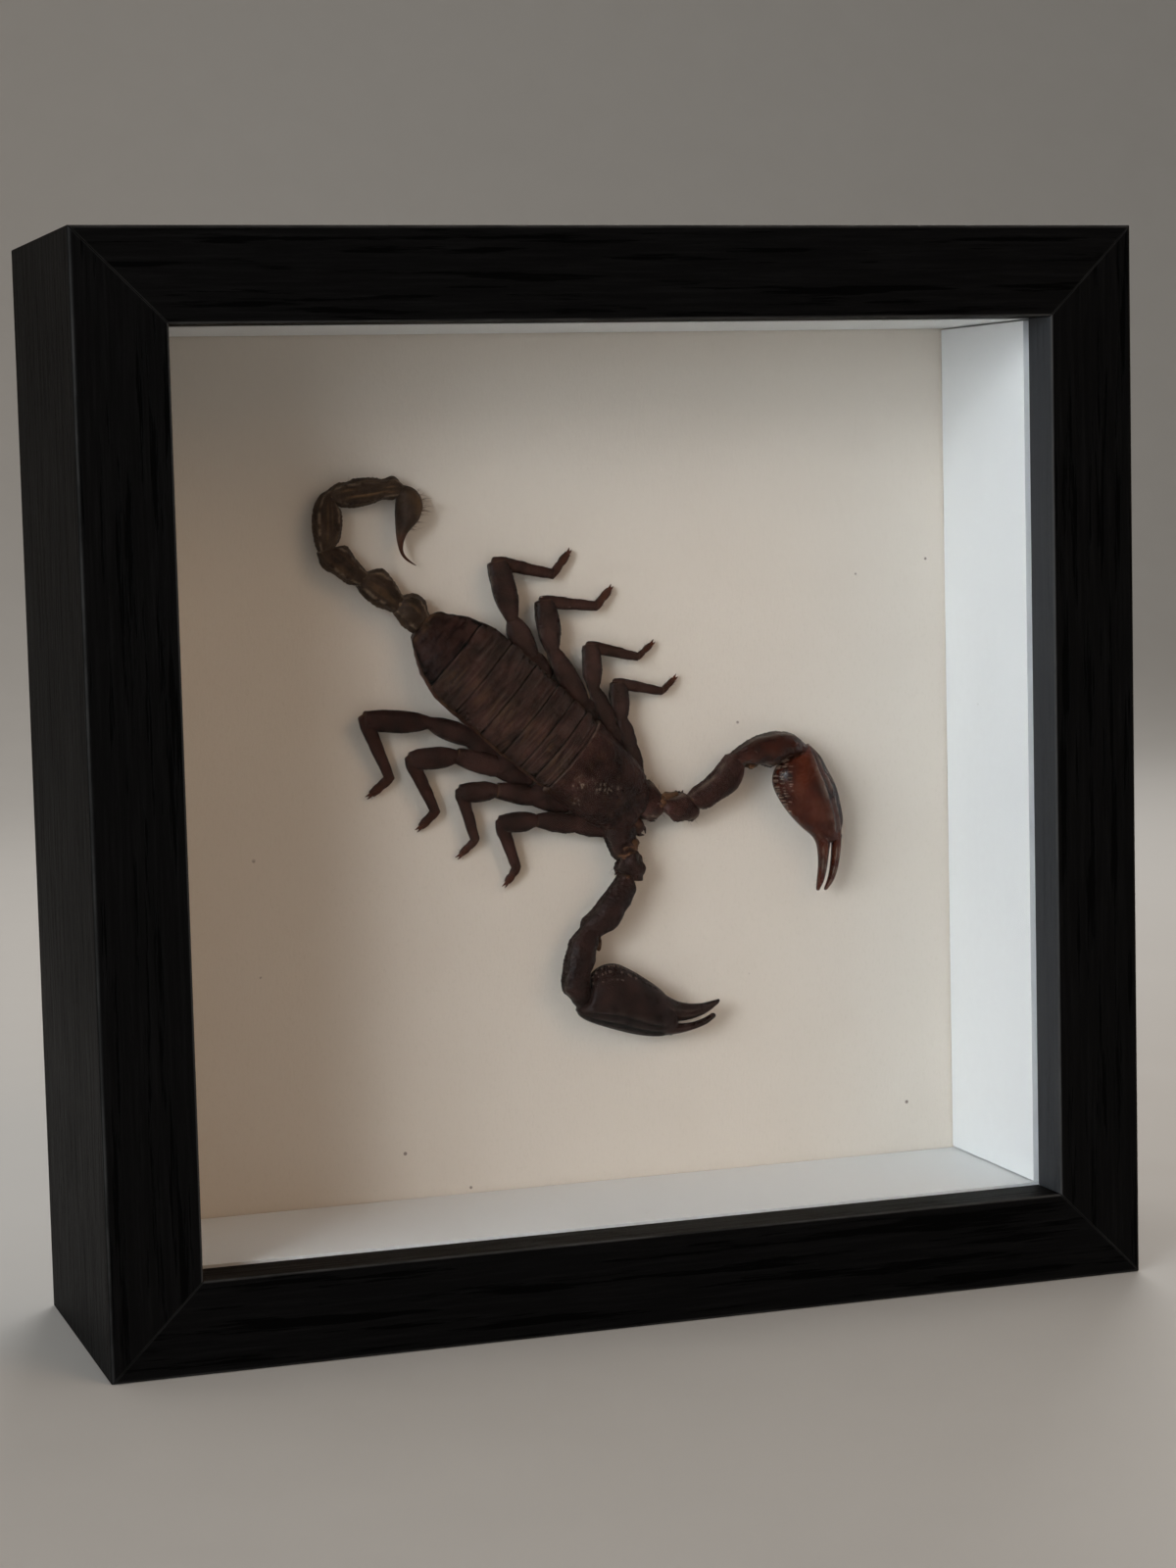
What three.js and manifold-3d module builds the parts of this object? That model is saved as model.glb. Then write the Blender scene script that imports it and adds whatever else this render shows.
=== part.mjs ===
// Framed scorpion specimen: a deep black box frame with a glazed front, a white liner and
// a cream board, on which a dry scorpion is laid out with its tail curled to the upper left.
// Millimetres, +Z up. The front looks along -Y and the wall is the plane y = 0.
// The origin is on the wall, at the nail that carries the hanger.

import * as THREE from 'three';
import { mergeVertices } from 'three/addons/utils/BufferGeometryUtils.js';
import Module from 'manifold-3d';

// Frame rails
const FRAME_SIDE = 200; // outer width and height
const FRAME_DEPTH = 61; // front face to wall
const FACE_WIDTH = 16.8; // rail seen from the front
const LIP_DEPTH = 9.4; // front face to the back of the lip
const RABBET_WIDTH = 6; // step behind the lip
const EDGE_RADIUS = 0.9; // wrapped outer front edge
const LIP_RADIUS = 0.4; // wrapped inner front edge
const ARC_STEPS = 4; // straight runs round a wrapped edge
const MITRE_GAP = 0.2; // seam between two rails
const CLEARANCE = 0.3; // between pieces that lie against each other

// What the frame holds
const GLASS_THICKNESS = 2;
const BOARD_SETBACK = 49.4; // front face to the board
const BOARD_THICKNESS = 2;
const PANEL_THICKNESS = 3;
const TAB = { width: 9, length: 15, thickness: 0.6, inRail: 5, fromCentre: 52 };
const HANGER = { width: 46, height: 9, thickness: 0.8, lift: 1.6, foot: 6, teeth: 9, toothDepth: 2 };
const HANG_HEIGHT = 66; // frame centre to the nail
const NAIL = { headRadius: 1.6, crownRadius: 1.1, headThickness: 0.7, fromEnd: 3, sides: 12 };

// Scorpion on the board: x to the right and y up from the middle of the board, z off the board
const BODY_START = [-27.5, 28.1]; // where the tail joins the body
const BODY_ANGLE = -42.2; // degrees, head to the lower right
const BODY_WIDEST_AT = 3.8; // height of the flanks off the board
const BODY_UNDERSIDE = 0.6;
const PLATE_STEP = 0.4; // rear edge of each back plate stands above the next
const MID_PLATE_SHARE = 0.6; // of that step, at the middle of a plate
const PLATE_SEAM = 0.15;
const PLATE_ENDS = [0, 8.5, 15.5, 22, 27.8, 32.2, 35.8, 39.3]; // along the body from the tail
const SHIELD_STATIONS = [39.45, 43, 48, 52, 55, 57, 58.2];
// Along the body, half width, height of the back off the board
const BODY_OUTLINE = [
  [0, 3.2, 5.4], [3.4, 5.9, 6.8], [6, 7.5, 7.7], [8.5, 8.4, 8.2], [11, 9.1, 8.6], [14, 9.3, 8.9],
  [28, 9.2, 9.2], [36, 8.8, 9], [40, 8.4, 8.8], [48, 7.8, 8.4], [52, 7.2, 7.8], [55, 6.2, 7],
  [57, 5.3, 6.2], [58.2, 4.2, 5.2],
];
const JAW = {
  start: 55.5, length: 6.2, spread: 1.7, tipSpread: 1.4, width: 3, lift: 3.6,
  profile: [[0, 0.8], [0.4, 1], [0.75, 0.85], [1, 0.35]],
};
const BODY_SIDES = 18;
const BODY_FULLNESS = { across: 0.85, back: 0.9, underside: 0.7 }; // under 1 is squarer than an oval

// Legs: root, hip, waist, knee, ankle and tip on the board, then widths of thigh, waist, shank, shin, foot
const LEG_LIFT = { hip: 3.2, waist: 3.2, knee: 3.1, ankle: 2, tip: 1.3 };
const LEG_SIDES = 8;
const FOOT_SIDES = 6;
const HOOK_SIDES = 4;
const LEGS = {
  leg_left_1: {
    root: [11.4, -0.6], hip: [14.2, 2.8], waist: [12.6, 8.4], knee: [11.8, 15.3], ankle: [21.5, 13.3],
    tip: [24.1, 15.4], widths: [2.9, 2.0, 3.6, 2.1, 1.2],
  },
  leg_left_2: {
    root: [7.2, 3.2], hip: [10.2, 6.8], waist: [6.9, 14.5], knee: [6.5, 22.7], ankle: [16.6, 20.2],
    tip: [19.5, 22.4], widths: [3.3, 2.2, 3.7, 2.2, 1.2],
  },
  leg_left_3: {
    root: [1.6, 8], hip: [4.3, 11.6], waist: [-1.3, 22.4], knee: [-2.7, 31.7], ankle: [8.3, 30.4],
    tip: [11.2, 33.4], widths: [4.2, 2.5, 4.4, 2.4, 1.5],
  },
  leg_left_4: {
    root: [-5.6, 17], hip: [-6, 20.8], waist: [-9.3, 28.8], knee: [-12, 39.5], ankle: [-0.4, 36.9],
    tip: [2.9, 40.7], widths: [4.6, 2, 4.5, 2.5, 1.5],
  },
  leg_right_1: {
    root: [7.4, -8.2], hip: [2.6, -11.7], waist: [-5.2, -10.5], knee: [-12.6, -10.7], ankle: [-9.3, -19.7],
    tip: [-11, -22.4], widths: [3.9, 2.7, 3.7, 2.4, 1.5],
  },
  leg_right_2: {
    root: [0.4, -2.4], hip: [-5.9, -5.9], waist: [-13.1, -4.3], knee: [-20.4, -4.3], ankle: [-17.5, -13.8],
    tip: [-20.1, -16.4], widths: [3.9, 3.2, 3.8, 2.3, 1.4],
  },
  leg_right_3: {
    root: [-7, 3.4], hip: [-12.9, 0.1], waist: [-21, 2.8], knee: [-30.2, 2.4], ankle: [-25.3, -7.8],
    tip: [-28, -10.6], widths: [4.2, 3.1, 4.2, 2.5, 1.7],
  },
  leg_right_4: {
    root: [-13.4, 8.8], hip: [-18.4, 6.1], waist: [-26.4, 9.4], knee: [-39, 10.5], ankle: [-34.2, -0.9],
    tip: [-37.6, -3.8], widths: [4, 2.4, 4.2, 2.6, 1.7],
  },
};
// Share of the segment's length, share of its width
const THIGH_PROFILE = [[0.02, 0.85], [0.35, 1], [0.7, 0.92]];
const SHANK_PROFILE = [[0.22, 0.9], [0.5, 1], [0.8, 0.96], [1, 0.8]];
const SHIN_PROFILE = [[-0.06, 0.8], [0.1, 1.1], [0.35, 1], [1, 0.75]];
const FOOT_PROFILE = [[-0.1, 0.9], [0.5, 1], [1, 0.75]];
const LEG_FLATNESS = 0.72; // thickness of a leg segment to its width
const ROOT_SHARE = 0.8; // width of a leg under the body to its thigh
const FOOT_CLAW = {
  length: 1.5, width: 0.56, spread: 28, drop: 0.4, overlap: 0.12, profile: [[0, 1.2], [0.6, 1], [1, 0.3]],
};

// Tail, from the body to the sting. Each row is one cross line: its two ends and half its thickness
const TAIL_LIFT = 3.3;
const TAIL_SIDES = 10;
const TAIL_SEGMENTS = [
  [[-25.8, 30, -29, 26.8, 1.9], [-26.8, 32.6, -30.9, 27.9, 2.5], [-28.6, 34.1, -31.8, 29, 2.6],
    [-30.6, 33.9, -32.7, 30.2, 2]],
  [[-30.6, 33.4, -32.5, 30.4, 1.8], [-32.1, 35.8, -34.4, 31.4, 2.3], [-33.8, 38.1, -37, 32.8, 2.5],
    [-35, 39, -38.9, 34.4, 2.4], [-37.4, 38.7, -39.8, 35.7, 1.9]],
  [[-37.5, 38.3, -39.6, 36, 1.7], [-39.6, 40.6, -42, 36.9, 2.2], [-41, 42.5, -44.2, 38.4, 2.4],
    [-42.2, 43.6, -46.3, 40, 2.4], [-44.2, 43.4, -47.3, 42.3, 1.9]],
  [[-44, 43, -47, 42.4, 1.7], [-43.1, 44.8, -47.7, 44.4, 2.3], [-42.4, 47.5, -47.9, 47.4, 2.5],
    [-42.5, 50, -47.7, 50.6, 2.4], [-43.3, 51.4, -46.6, 52.8, 2], [-44, 52, -45.2, 54, 1.6]],
  [[-44.3, 51.9, -45.2, 54, 1.5], [-42.6, 51.1, -43, 55.2, 2], [-39.5, 50.9, -39.6, 55.9, 2.2],
    [-37, 51.3, -36.6, 56.1, 2.2], [-34.4, 52.1, -34, 56, 2], [-32.2, 52.3, -32, 56.3, 1.9],
    [-31.1, 52.6, -30.5, 55.1, 1.5]],
  [[-31.5, 52.4, -30.9, 55, 1.4], [-31.6, 51.5, -28.3, 54.2, 2.1], [-31.8, 50.2, -26.9, 52.6, 2.5],
    [-31.8, 48.6, -26.5, 50.6, 2.5], [-31.8, 46.9, -27.3, 48.2, 2.2], [-31.8, 45.4, -29.3, 46, 1.4],
    [-31.6, 43.8, -30.3, 44.2, 0.8], [-31.1, 42, -30.5, 42.4, 0.4], [-30.4, 40.9, -30, 41.3, 0.3],
    [-29.4, 40.1, -29.2, 40.5, 0.22], [-28.4, 39.55, -28.3, 39.75, 0.12]],
];

// Claw arms, from the body outwards: hip plate, hip, upper arm, forearm, palm, fixed and moving finger
const CLAW_LIFT = 4.4;
const CLAW_SIDES = 10;
const CLAW_LEFT = [
  [[14, -3, 13.4, -10, 2.6], [16.2, -3.7, 16.4, -11.4, 2.9], [18.2, -4.2, 18.6, -11.6, 2.8],
    [20.3, -6.9, 20.5, -10.4, 2]],
  [[19.8, -7.2, 20.2, -10, 1.6], [22, -6.9, 22.2, -11.8, 2.2], [24.2, -6.6, 24.4, -12.1, 2.4],
    [26, -7.6, 26.4, -11.8, 2.1], [27.3, -8.6, 27.5, -11, 1.5]],
  [[25.4, -7, 27.6, -10, 1.9], [27.4, -5.6, 29.4, -9.9, 2.3], [30.2, -3.6, 32.2, -8.3, 2.6],
    [32.2, -1.4, 35.2, -6.7, 2.7], [33.6, 0.1, 36.7, -4.8, 2.5], [34.8, 0.3, 37.4, -2.6, 1.9]],
  [[34.2, 0.2, 36.6, -2, 1.8], [37, 2, 39, -1.8, 2.4], [40, 3.5, 41, -1.9, 2.7], [43, 4.1, 43.2, -2.4, 2.9],
    [46, 4.1, 45.8, -1.2, 2.8], [48.2, 3.3, 47.6, -0.5, 2.5], [50.4, 1.6, 49.8, -0.6, 1.9]],
  [[51.2, 1.6, 49.4, -0.3, 1.4], [52.7, 0.1, 46.6, -1.1, 2.6], [54.2, -2.4, 44.3, -2.6, 3.4],
    [55.8, -5.4, 43.4, -5, 3.9], [57, -8.4, 43.9, -7.4, 3.9], [57.6, -11.2, 45.3, -9.8, 3.6],
    [57.8, -13.2, 47.1, -12.4, 3.2], [57.8, -15, 49.2, -14.7, 2.7], [57.8, -16.4, 51.2, -16.4, 2.2]],
  [[55.5, -16, 51, -15.8, 2.1], [55.3, -18.8, 52.5, -18.2, 1.6], [54.9, -21.2, 52.9, -20.5, 1.4],
    [54.5, -23.6, 52.9, -23, 1.2], [53.9, -25.9, 52.6, -25.4, 0.9], [53.2, -27.3, 52.4, -27, 0.6],
    [52.8, -27.9, 52.6, -27.9, 0.2]],
  [[57.8, -13, 55.7, -13.5, 1.7], [57.8, -16.8, 55.7, -16.6, 1.6], [57.7, -19.2, 55.9, -19, 1.4],
    [57.3, -22, 55.7, -21.6, 1.2], [56.7, -24.4, 55.3, -24, 1], [55.9, -26.2, 54.8, -25.8, 0.8],
    [54.9, -27.4, 54.2, -27.1, 0.5], [54.4, -27.8, 54.2, -27.7, 0.2]],
];
const CLAW_RIGHT = [
  [[16, -9.6, 7.8, -11.4, 2.6], [14.8, -13, 8, -13.4, 2.9], [14.6, -15.2, 8.8, -15.8, 2.8],
    [14.8, -17, 9.8, -18, 2.2], [14.4, -18.2, 10.6, -19.2, 1.7]],
  [[14.6, -17.6, 10.7, -18.4, 1.7], [15.9, -19.6, 10.6, -20.4, 2.3], [16, -21.6, 11, -21.6, 2.4],
    [15.6, -23.3, 11.6, -22.6, 1.8]],
  [[13.6, -22.6, 10.8, -22, 1.9], [14, -25.2, 9, -24.3, 2.4], [13, -27.6, 7, -26.6, 2.7],
    [11.6, -29.6, 4.8, -28.8, 2.8], [10.4, -31.6, 3.1, -30.6, 2.7], [9, -32.8, 2.8, -31.9, 2.4],
    [6.6, -33.8, 4, -32.9, 1.7]],
  [[5.6, -32.6, 2.9, -31.6, 1.8], [6.1, -34.8, 0.8, -34, 2.4], [5.4, -36.9, -0.2, -36.6, 2.7],
    [5.2, -38.8, -0.9, -39, 2.9], [4.2, -41.2, -1.3, -41.6, 2.9], [4.2, -43.8, -1.1, -44, 2.7],
    [4.4, -45.4, 0.2, -45.7, 2.3], [3.6, -47.2, 1.6, -47.6, 1.6]],
  [[2.6, -46.8, 1.5, -48.3, 1.4], [4.2, -44.6, 2.2, -49.4, 2.5], [4.6, -41.4, 4.6, -50.6, 3.3],
    [6.8, -39.7, 7.4, -51.7, 3.9], [9.6, -39.5, 10.2, -52.7, 4], [12.6, -40.8, 13, -53.5, 3.7],
    [15.6, -42.7, 15.8, -54.1, 3.3], [18.4, -44.8, 18.4, -54.4, 2.7], [20.2, -46.6, 20.2, -54.4, 2.2]],
  [[19.8, -46.3, 19.6, -51.2, 2.1], [22.4, -47.8, 22, -51.7, 1.7], [25, -48.5, 24.6, -51.6, 1.5],
    [27.6, -48.6, 27.2, -51, 1.2], [29.6, -48.3, 29.2, -50.1, 0.9], [30.8, -48.1, 30.4, -49.3, 0.6],
    [31.2, -48.4, 31.1, -48.7, 0.2]],
  [[18, -51.5, 18, -54.3, 1.6], [20.4, -51.9, 20.4, -54.4, 1.5], [23, -52.4, 23, -54.2, 1.3],
    [25.6, -52.3, 26, -53.6, 1.1], [27.8, -51.7, 28.4, -52.8, 0.9], [29.4, -50.9, 30, -51.8, 0.6],
    [30.7, -50.2, 30.9, -50.4, 0.2]],
];

const MERGE_WITHIN = 1e-4; // corners closer than this are one corner

const wasm = await Module();
wasm.setup();

const material = (color, roughness, metalness = 0) =>
  new THREE.MeshStandardMaterial({ color, roughness, metalness });
const BLACK_WRAP = material(0x151516, 0.55);
const CLEAR_GLASS = material(0xf2f6f6, 0.05);
const WHITE_LINER = material(0xdfe4e6, 0.4);
const CREAM_BOARD = material(0xd2c7b8, 0.9);
const HARDBOARD = material(0x6b4a2f, 0.8);
const STEEL = material(0xa9abad, 0.35, 1);
const DARK_CUTICLE = material(0x2c211f, 0.5);
const TAIL_CUTICLE = material(0x4a4035, 0.55);
const RED_CUTICLE = material(0x5a2413, 0.25);

// Solids are joined and cut as closed triangle meshes and come back as geometry
function toSolid(geometry) {
  const bare = geometry.clone();
  bare.deleteAttribute('normal');
  bare.deleteAttribute('uv');
  const merged = mergeVertices(bare, MERGE_WITHIN);
  return new wasm.Manifold(new wasm.Mesh({
    numProp: 3,
    vertProperties: new Float32Array(merged.attributes.position.array),
    triVerts: new Uint32Array(merged.index.array),
  }));
}

function toGeometry(solid) {
  const { vertProperties, triVerts } = solid.getMesh();
  const geometry = new THREE.BufferGeometry();
  geometry.setAttribute('position', new THREE.BufferAttribute(vertProperties, 3));
  geometry.setIndex(new THREE.BufferAttribute(triVerts, 1));
  geometry.computeVertexNormals();
  return geometry;
}

const join = (geometries) => geometries.map(toSolid).reduce((whole, piece) => whole.add(piece));

// Skin over a row of rings with the same number of points, closed at both ends.
// Each ring runs anticlockwise seen from the end that the row runs towards.
function loft(rings, capTriangles) {
  const count = rings[0].length;
  const last = (rings.length - 1) * count;
  const index = [];
  for (let r = 0; r + 1 < rings.length; r += 1) {
    for (let k = 0; k < count; k += 1) {
      const a = r * count + k;
      const b = r * count + (k + 1) % count;
      index.push(a, b, b + count, a, b + count, a + count);
    }
  }
  for (const [a, b, c] of capTriangles) {
    index.push(c, b, a, last + a, last + b, last + c);
  }
  const geometry = new THREE.BufferGeometry();
  geometry.setAttribute('position', new THREE.Float32BufferAttribute(rings.flat(2), 3));
  geometry.setIndex(index);
  return geometry;
}

const fan = (count) => Array.from({ length: count - 2 }, (_, k) => [0, k + 1, k + 2]);

// Oval ring across a limb, from the limb's one edge to its other, upright on the board
function ovalRing([ax, ay], [bx, by], lift, halfThickness, sides) {
  const ring = [];
  for (let k = 0; k < sides; k += 1) {
    const angle = (2 * Math.PI * k) / sides;
    const share = (1 - Math.cos(angle)) / 2;
    ring.push([
      ax + (bx - ax) * share,
      ay + (by - ay) * share,
      lift + halfThickness * Math.sin(angle),
    ]);
  }
  return ring;
}

// Faces point out whichever way a row of rings was listed
function outward(geometry) {
  const solid = toSolid(geometry);
  if (solid.volume() > 0) return geometry;
  const flipped = geometry.clone();
  flipped.index.array.reverse();
  return flipped;
}

// Segment given by the cross lines between its two edges
function crossedSegment(rows, lift, sides) {
  const rings = rows.map(([ax, ay, bx, by, half]) => ovalRing([ax, ay], [bx, by], lift, half, sides));
  return outward(loft(rings, fan(sides)));
}

// Points and widths along a straight segment between two joints, from its profile
const stationsBetween = (from, to, width, profile) => profile.map(([share, scale]) => ({
  centre: from.clone().lerp(to, share),
  half: (width * scale) / 2,
}));

// Limb through a row of stations, each ring square to the way the limb runs there
function limb(stations, sides) {
  const rings = stations.map(({ centre, half }, k) => {
    const before = stations[Math.max(k - 1, 0)].centre;
    const after = stations[Math.min(k + 1, stations.length - 1)].centre;
    const across = new THREE.Vector3(before.y - after.y, after.x - before.x, 0).setLength(half);
    const a = centre.clone().add(across);
    const b = centre.clone().sub(across);
    return ovalRing([a.x, a.y], [b.x, b.y], centre.z, half * LEG_FLATNESS, sides);
  });
  return outward(loft(rings, fan(sides)));
}

// Half width and back height of the body at a distance from the tail
function bodyAt(along) {
  const next = Math.max(1, BODY_OUTLINE.findIndex(([station]) => station >= along));
  const [s0, w0, t0] = BODY_OUTLINE[next - 1];
  const [s1, w1, t1] = BODY_OUTLINE[next];
  const share = (along - s0) / (s1 - s0);
  return { halfWidth: THREE.MathUtils.lerp(w0, w1, share), back: THREE.MathUtils.lerp(t0, t1, share) };
}

// Ring of the body, domed above the flanks and flatter below them; grow widens it all round
function bodyRing(along, rise, grow) {
  const { halfWidth, back } = bodyAt(along);
  const ring = [];
  for (let k = 0; k < BODY_SIDES; k += 1) {
    const angle = (2 * Math.PI * k) / BODY_SIDES;
    const across = Math.sign(Math.cos(angle)) * Math.abs(Math.cos(angle)) ** BODY_FULLNESS.across;
    const steep = Math.abs(Math.sin(angle));
    const upper = (back + rise + grow - BODY_WIDEST_AT) * steep ** BODY_FULLNESS.back;
    const lower = (BODY_WIDEST_AT - BODY_UNDERSIDE + grow) * steep ** BODY_FULLNESS.underside;
    ring.push([
      along,
      across * (halfWidth + rise / 2 + grow),
      BODY_WIDEST_AT + (Math.sin(angle) >= 0 ? upper : -lower),
    ]);
  }
  return ring;
}

function placeOnBoard(geometry) {
  geometry.rotateZ(THREE.MathUtils.degToRad(BODY_ANGLE));
  geometry.translate(BODY_START[0], BODY_START[1], 0);
  return geometry;
}

// Back plates and head shield as one skin, each plate's rear edge standing over the next
function bodyTrunk(grow = 0) {
  const rings = [];
  for (let plate = 0; plate + 1 < PLATE_ENDS.length; plate += 1) {
    const rear = PLATE_ENDS[plate] + (plate > 0 ? PLATE_SEAM : -grow);
    const front = PLATE_ENDS[plate + 1];
    rings.push(bodyRing(Math.max(rear, 0), PLATE_STEP, grow).map(([, y, z]) => [rear, y, z]));
    rings.push(bodyRing((rear + front) / 2, PLATE_STEP * MID_PLATE_SHARE, grow));
    rings.push(bodyRing(front, 0, grow));
  }
  SHIELD_STATIONS.forEach((station, k) => {
    const end = k === SHIELD_STATIONS.length - 1 ? grow : 0;
    const rise = k === 0 ? PLATE_STEP : 0;
    rings.push(bodyRing(station, rise, grow).map(([x, y, z]) => [x + end, y, z]));
  });
  return placeOnBoard(outward(loft(rings, fan(BODY_SIDES))));
}

// Pair of short jaws under the front of the head shield
function jaw(side) {
  const base = new THREE.Vector3(JAW.start, side * JAW.spread, JAW.lift);
  const tip = new THREE.Vector3(JAW.start + JAW.length, side * JAW.tipSpread, JAW.lift);
  return placeOnBoard(limb(stationsBetween(base, tip, JAW.width, JAW.profile), LEG_SIDES));
}

// Two small hooks at the end of a foot
function footClaws(ankle, tip) {
  const heading = Math.atan2(tip.y - ankle.y, tip.x - ankle.x);
  return [-1, 1].map((side) => {
    const turn = heading + side * THREE.MathUtils.degToRad(FOOT_CLAW.spread);
    const start = tip.clone().lerp(ankle, FOOT_CLAW.overlap);
    const end = new THREE.Vector3(
      start.x + FOOT_CLAW.length * Math.cos(turn),
      start.y + FOOT_CLAW.length * Math.sin(turn),
      tip.z - FOOT_CLAW.drop,
    );
    return limb(stationsBetween(start, end, FOOT_CLAW.width, FOOT_CLAW.profile), HOOK_SIDES);
  });
}

// Thigh and shank are one run with a narrow waist; shin and foot bend off it
function leg({ root, hip, waist, knee, ankle, tip, widths }) {
  const [thigh, waistWidth, shank, shin, foot] = widths;
  const at = ([x, y], joint) => new THREE.Vector3(x, y, LEG_LIFT[joint]);
  const rootAt = at(root, 'hip');
  const hipAt = at(hip, 'hip');
  const waistAt = at(waist, 'waist');
  const kneeAt = at(knee, 'knee');
  const ankleAt = at(ankle, 'ankle');
  const tipAt = at(tip, 'tip');
  const upper = [
    { centre: rootAt, half: (thigh * ROOT_SHARE) / 2 },
    ...stationsBetween(hipAt, waistAt, thigh, THIGH_PROFILE),
    { centre: waistAt, half: waistWidth / 2 },
    ...stationsBetween(waistAt, kneeAt, shank, SHANK_PROFILE),
  ];
  return join([
    limb(upper, LEG_SIDES),
    limb(stationsBetween(kneeAt, ankleAt, shin, SHIN_PROFILE), FOOT_SIDES),
    limb(stationsBetween(ankleAt, tipAt, foot, FOOT_PROFILE), FOOT_SIDES),
    ...footClaws(ankleAt, tipAt),
  ]);
}

// Rail section: inwards from the outer edge, and forwards from the wall
function railSection() {
  const shape = new THREE.Shape();
  const wall = FACE_WIDTH - RABBET_WIDTH;
  shape.moveTo(0, 0);
  shape.lineTo(wall, 0);
  shape.lineTo(wall, FRAME_DEPTH - LIP_DEPTH);
  shape.lineTo(FACE_WIDTH, FRAME_DEPTH - LIP_DEPTH);
  shape.lineTo(FACE_WIDTH, FRAME_DEPTH - LIP_RADIUS);
  shape.absarc(FACE_WIDTH - LIP_RADIUS, FRAME_DEPTH - LIP_RADIUS, LIP_RADIUS, 0, Math.PI / 2, false);
  shape.lineTo(EDGE_RADIUS, FRAME_DEPTH);
  shape.absarc(EDGE_RADIUS, FRAME_DEPTH - EDGE_RADIUS, EDGE_RADIUS, Math.PI / 2, Math.PI, false);
  return shape.extractPoints(ARC_STEPS).shape.slice(0, -1);
}

// Bottom rail with both ends cut at 45 degrees and a slot for each tab
function railGeometry() {
  const section = railSection();
  const endRing = (side) => section.map((p) => [
    side * (FRAME_SIDE / 2 - p.x - MITRE_GAP / 2),
    -p.y,
    p.x - FRAME_SIDE / 2,
  ]);
  const caps = THREE.ShapeUtils.triangulateShape(section, []);
  let solid = toSolid(outward(loft([endRing(-1), endRing(1)], caps)));
  for (const side of [-1, 1]) {
    const slot = new THREE.BoxGeometry(
      TAB.width + 2 * CLEARANCE,
      TAB.thickness + 2 * CLEARANCE,
      2 * (TAB.inRail + CLEARANCE),
    );
    slot.translate(side * TAB.fromCentre, TAB_Y, FACE_WIDTH - RABBET_WIDTH - FRAME_SIDE / 2);
    solid = solid.subtract(toSolid(slot));
  }
  return toGeometry(solid);
}

// Box between two corners
function boxGeometry(low, high) {
  const size = high.map((value, axis) => value - low[axis]);
  const geometry = new THREE.BoxGeometry(...size);
  geometry.translate(...low.map((value, axis) => value + size[axis] / 2));
  return geometry;
}

// Sawtooth hanger: a toothed plate raised on two feet, nailed to the panel
function hangerGeometry() {
  const plate = new THREE.Shape();
  const half = HANGER.width / 2;
  const toothed = half - HANGER.foot;
  const pitch = (2 * toothed) / HANGER.teeth;
  plate.moveTo(-half, 0);
  plate.lineTo(-toothed, 0);
  for (let k = 0; k < HANGER.teeth; k += 1) {
    plate.lineTo(-toothed + (k + 0.5) * pitch, HANGER.toothDepth);
    plate.lineTo(-toothed + (k + 1) * pitch, 0);
  }
  plate.lineTo(half, 0);
  plate.lineTo(half, HANGER.height);
  plate.lineTo(-half, HANGER.height);
  plate.closePath();
  const sheet = new THREE.ExtrudeGeometry(plate, { depth: HANGER.thickness, bevelEnabled: false });
  sheet.rotateX(Math.PI / 2);
  sheet.translate(0, HANGER.lift + HANGER.thickness, 0);
  const pieces = [sheet];
  for (const side of [-1, 1]) {
    const edge = side * half;
    const inner = side * (toothed + NAIL.headThickness);
    pieces.push(boxGeometry(
      [Math.min(edge, inner), 0, HANGER.toothDepth],
      [Math.max(edge, inner), HANGER.lift + HANGER.thickness / 2, HANGER.height],
    ));
    const { crownRadius, headRadius, headThickness, sides } = NAIL;
    const head = new THREE.CylinderGeometry(crownRadius, headRadius, 2 * headThickness, sides);
    const middle = (HANGER.height + HANGER.toothDepth) / 2;
    head.translate(side * (half - NAIL.fromEnd), HANGER.lift + HANGER.thickness, middle);
    pieces.push(head);
  }
  return toGeometry(join(pieces));
}

// Depths behind the front face, as places along Y
const FRONT_Y = -FRAME_DEPTH;
const GLASS_FRONT_Y = FRONT_Y + LIP_DEPTH + CLEARANCE;
const LINER_FRONT_Y = GLASS_FRONT_Y + GLASS_THICKNESS + CLEARANCE;
const BOARD_FRONT_Y = FRONT_Y + BOARD_SETBACK;
const PANEL_FRONT_Y = BOARD_FRONT_Y + BOARD_THICKNESS + CLEARANCE;
const PANEL_BACK_Y = PANEL_FRONT_Y + PANEL_THICKNESS;
const TAB_Y = PANEL_BACK_Y + CLEARANCE + TAB.thickness / 2;
const WELL_HALF = FRAME_SIDE / 2 - FACE_WIDTH + RABBET_WIDTH; // inside of the rails behind the lip
const SIGHT_HALF = FRAME_SIDE / 2 - FACE_WIDTH; // opening in front of the glass
const FILL_HALF = WELL_HALF - CLEARANCE;

const frame = new THREE.Group();
function addMesh(parent, name, geometry, finish) {
  const mesh = new THREE.Mesh(geometry, finish);
  mesh.name = name;
  parent.add(mesh);
  return mesh;
}

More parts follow.
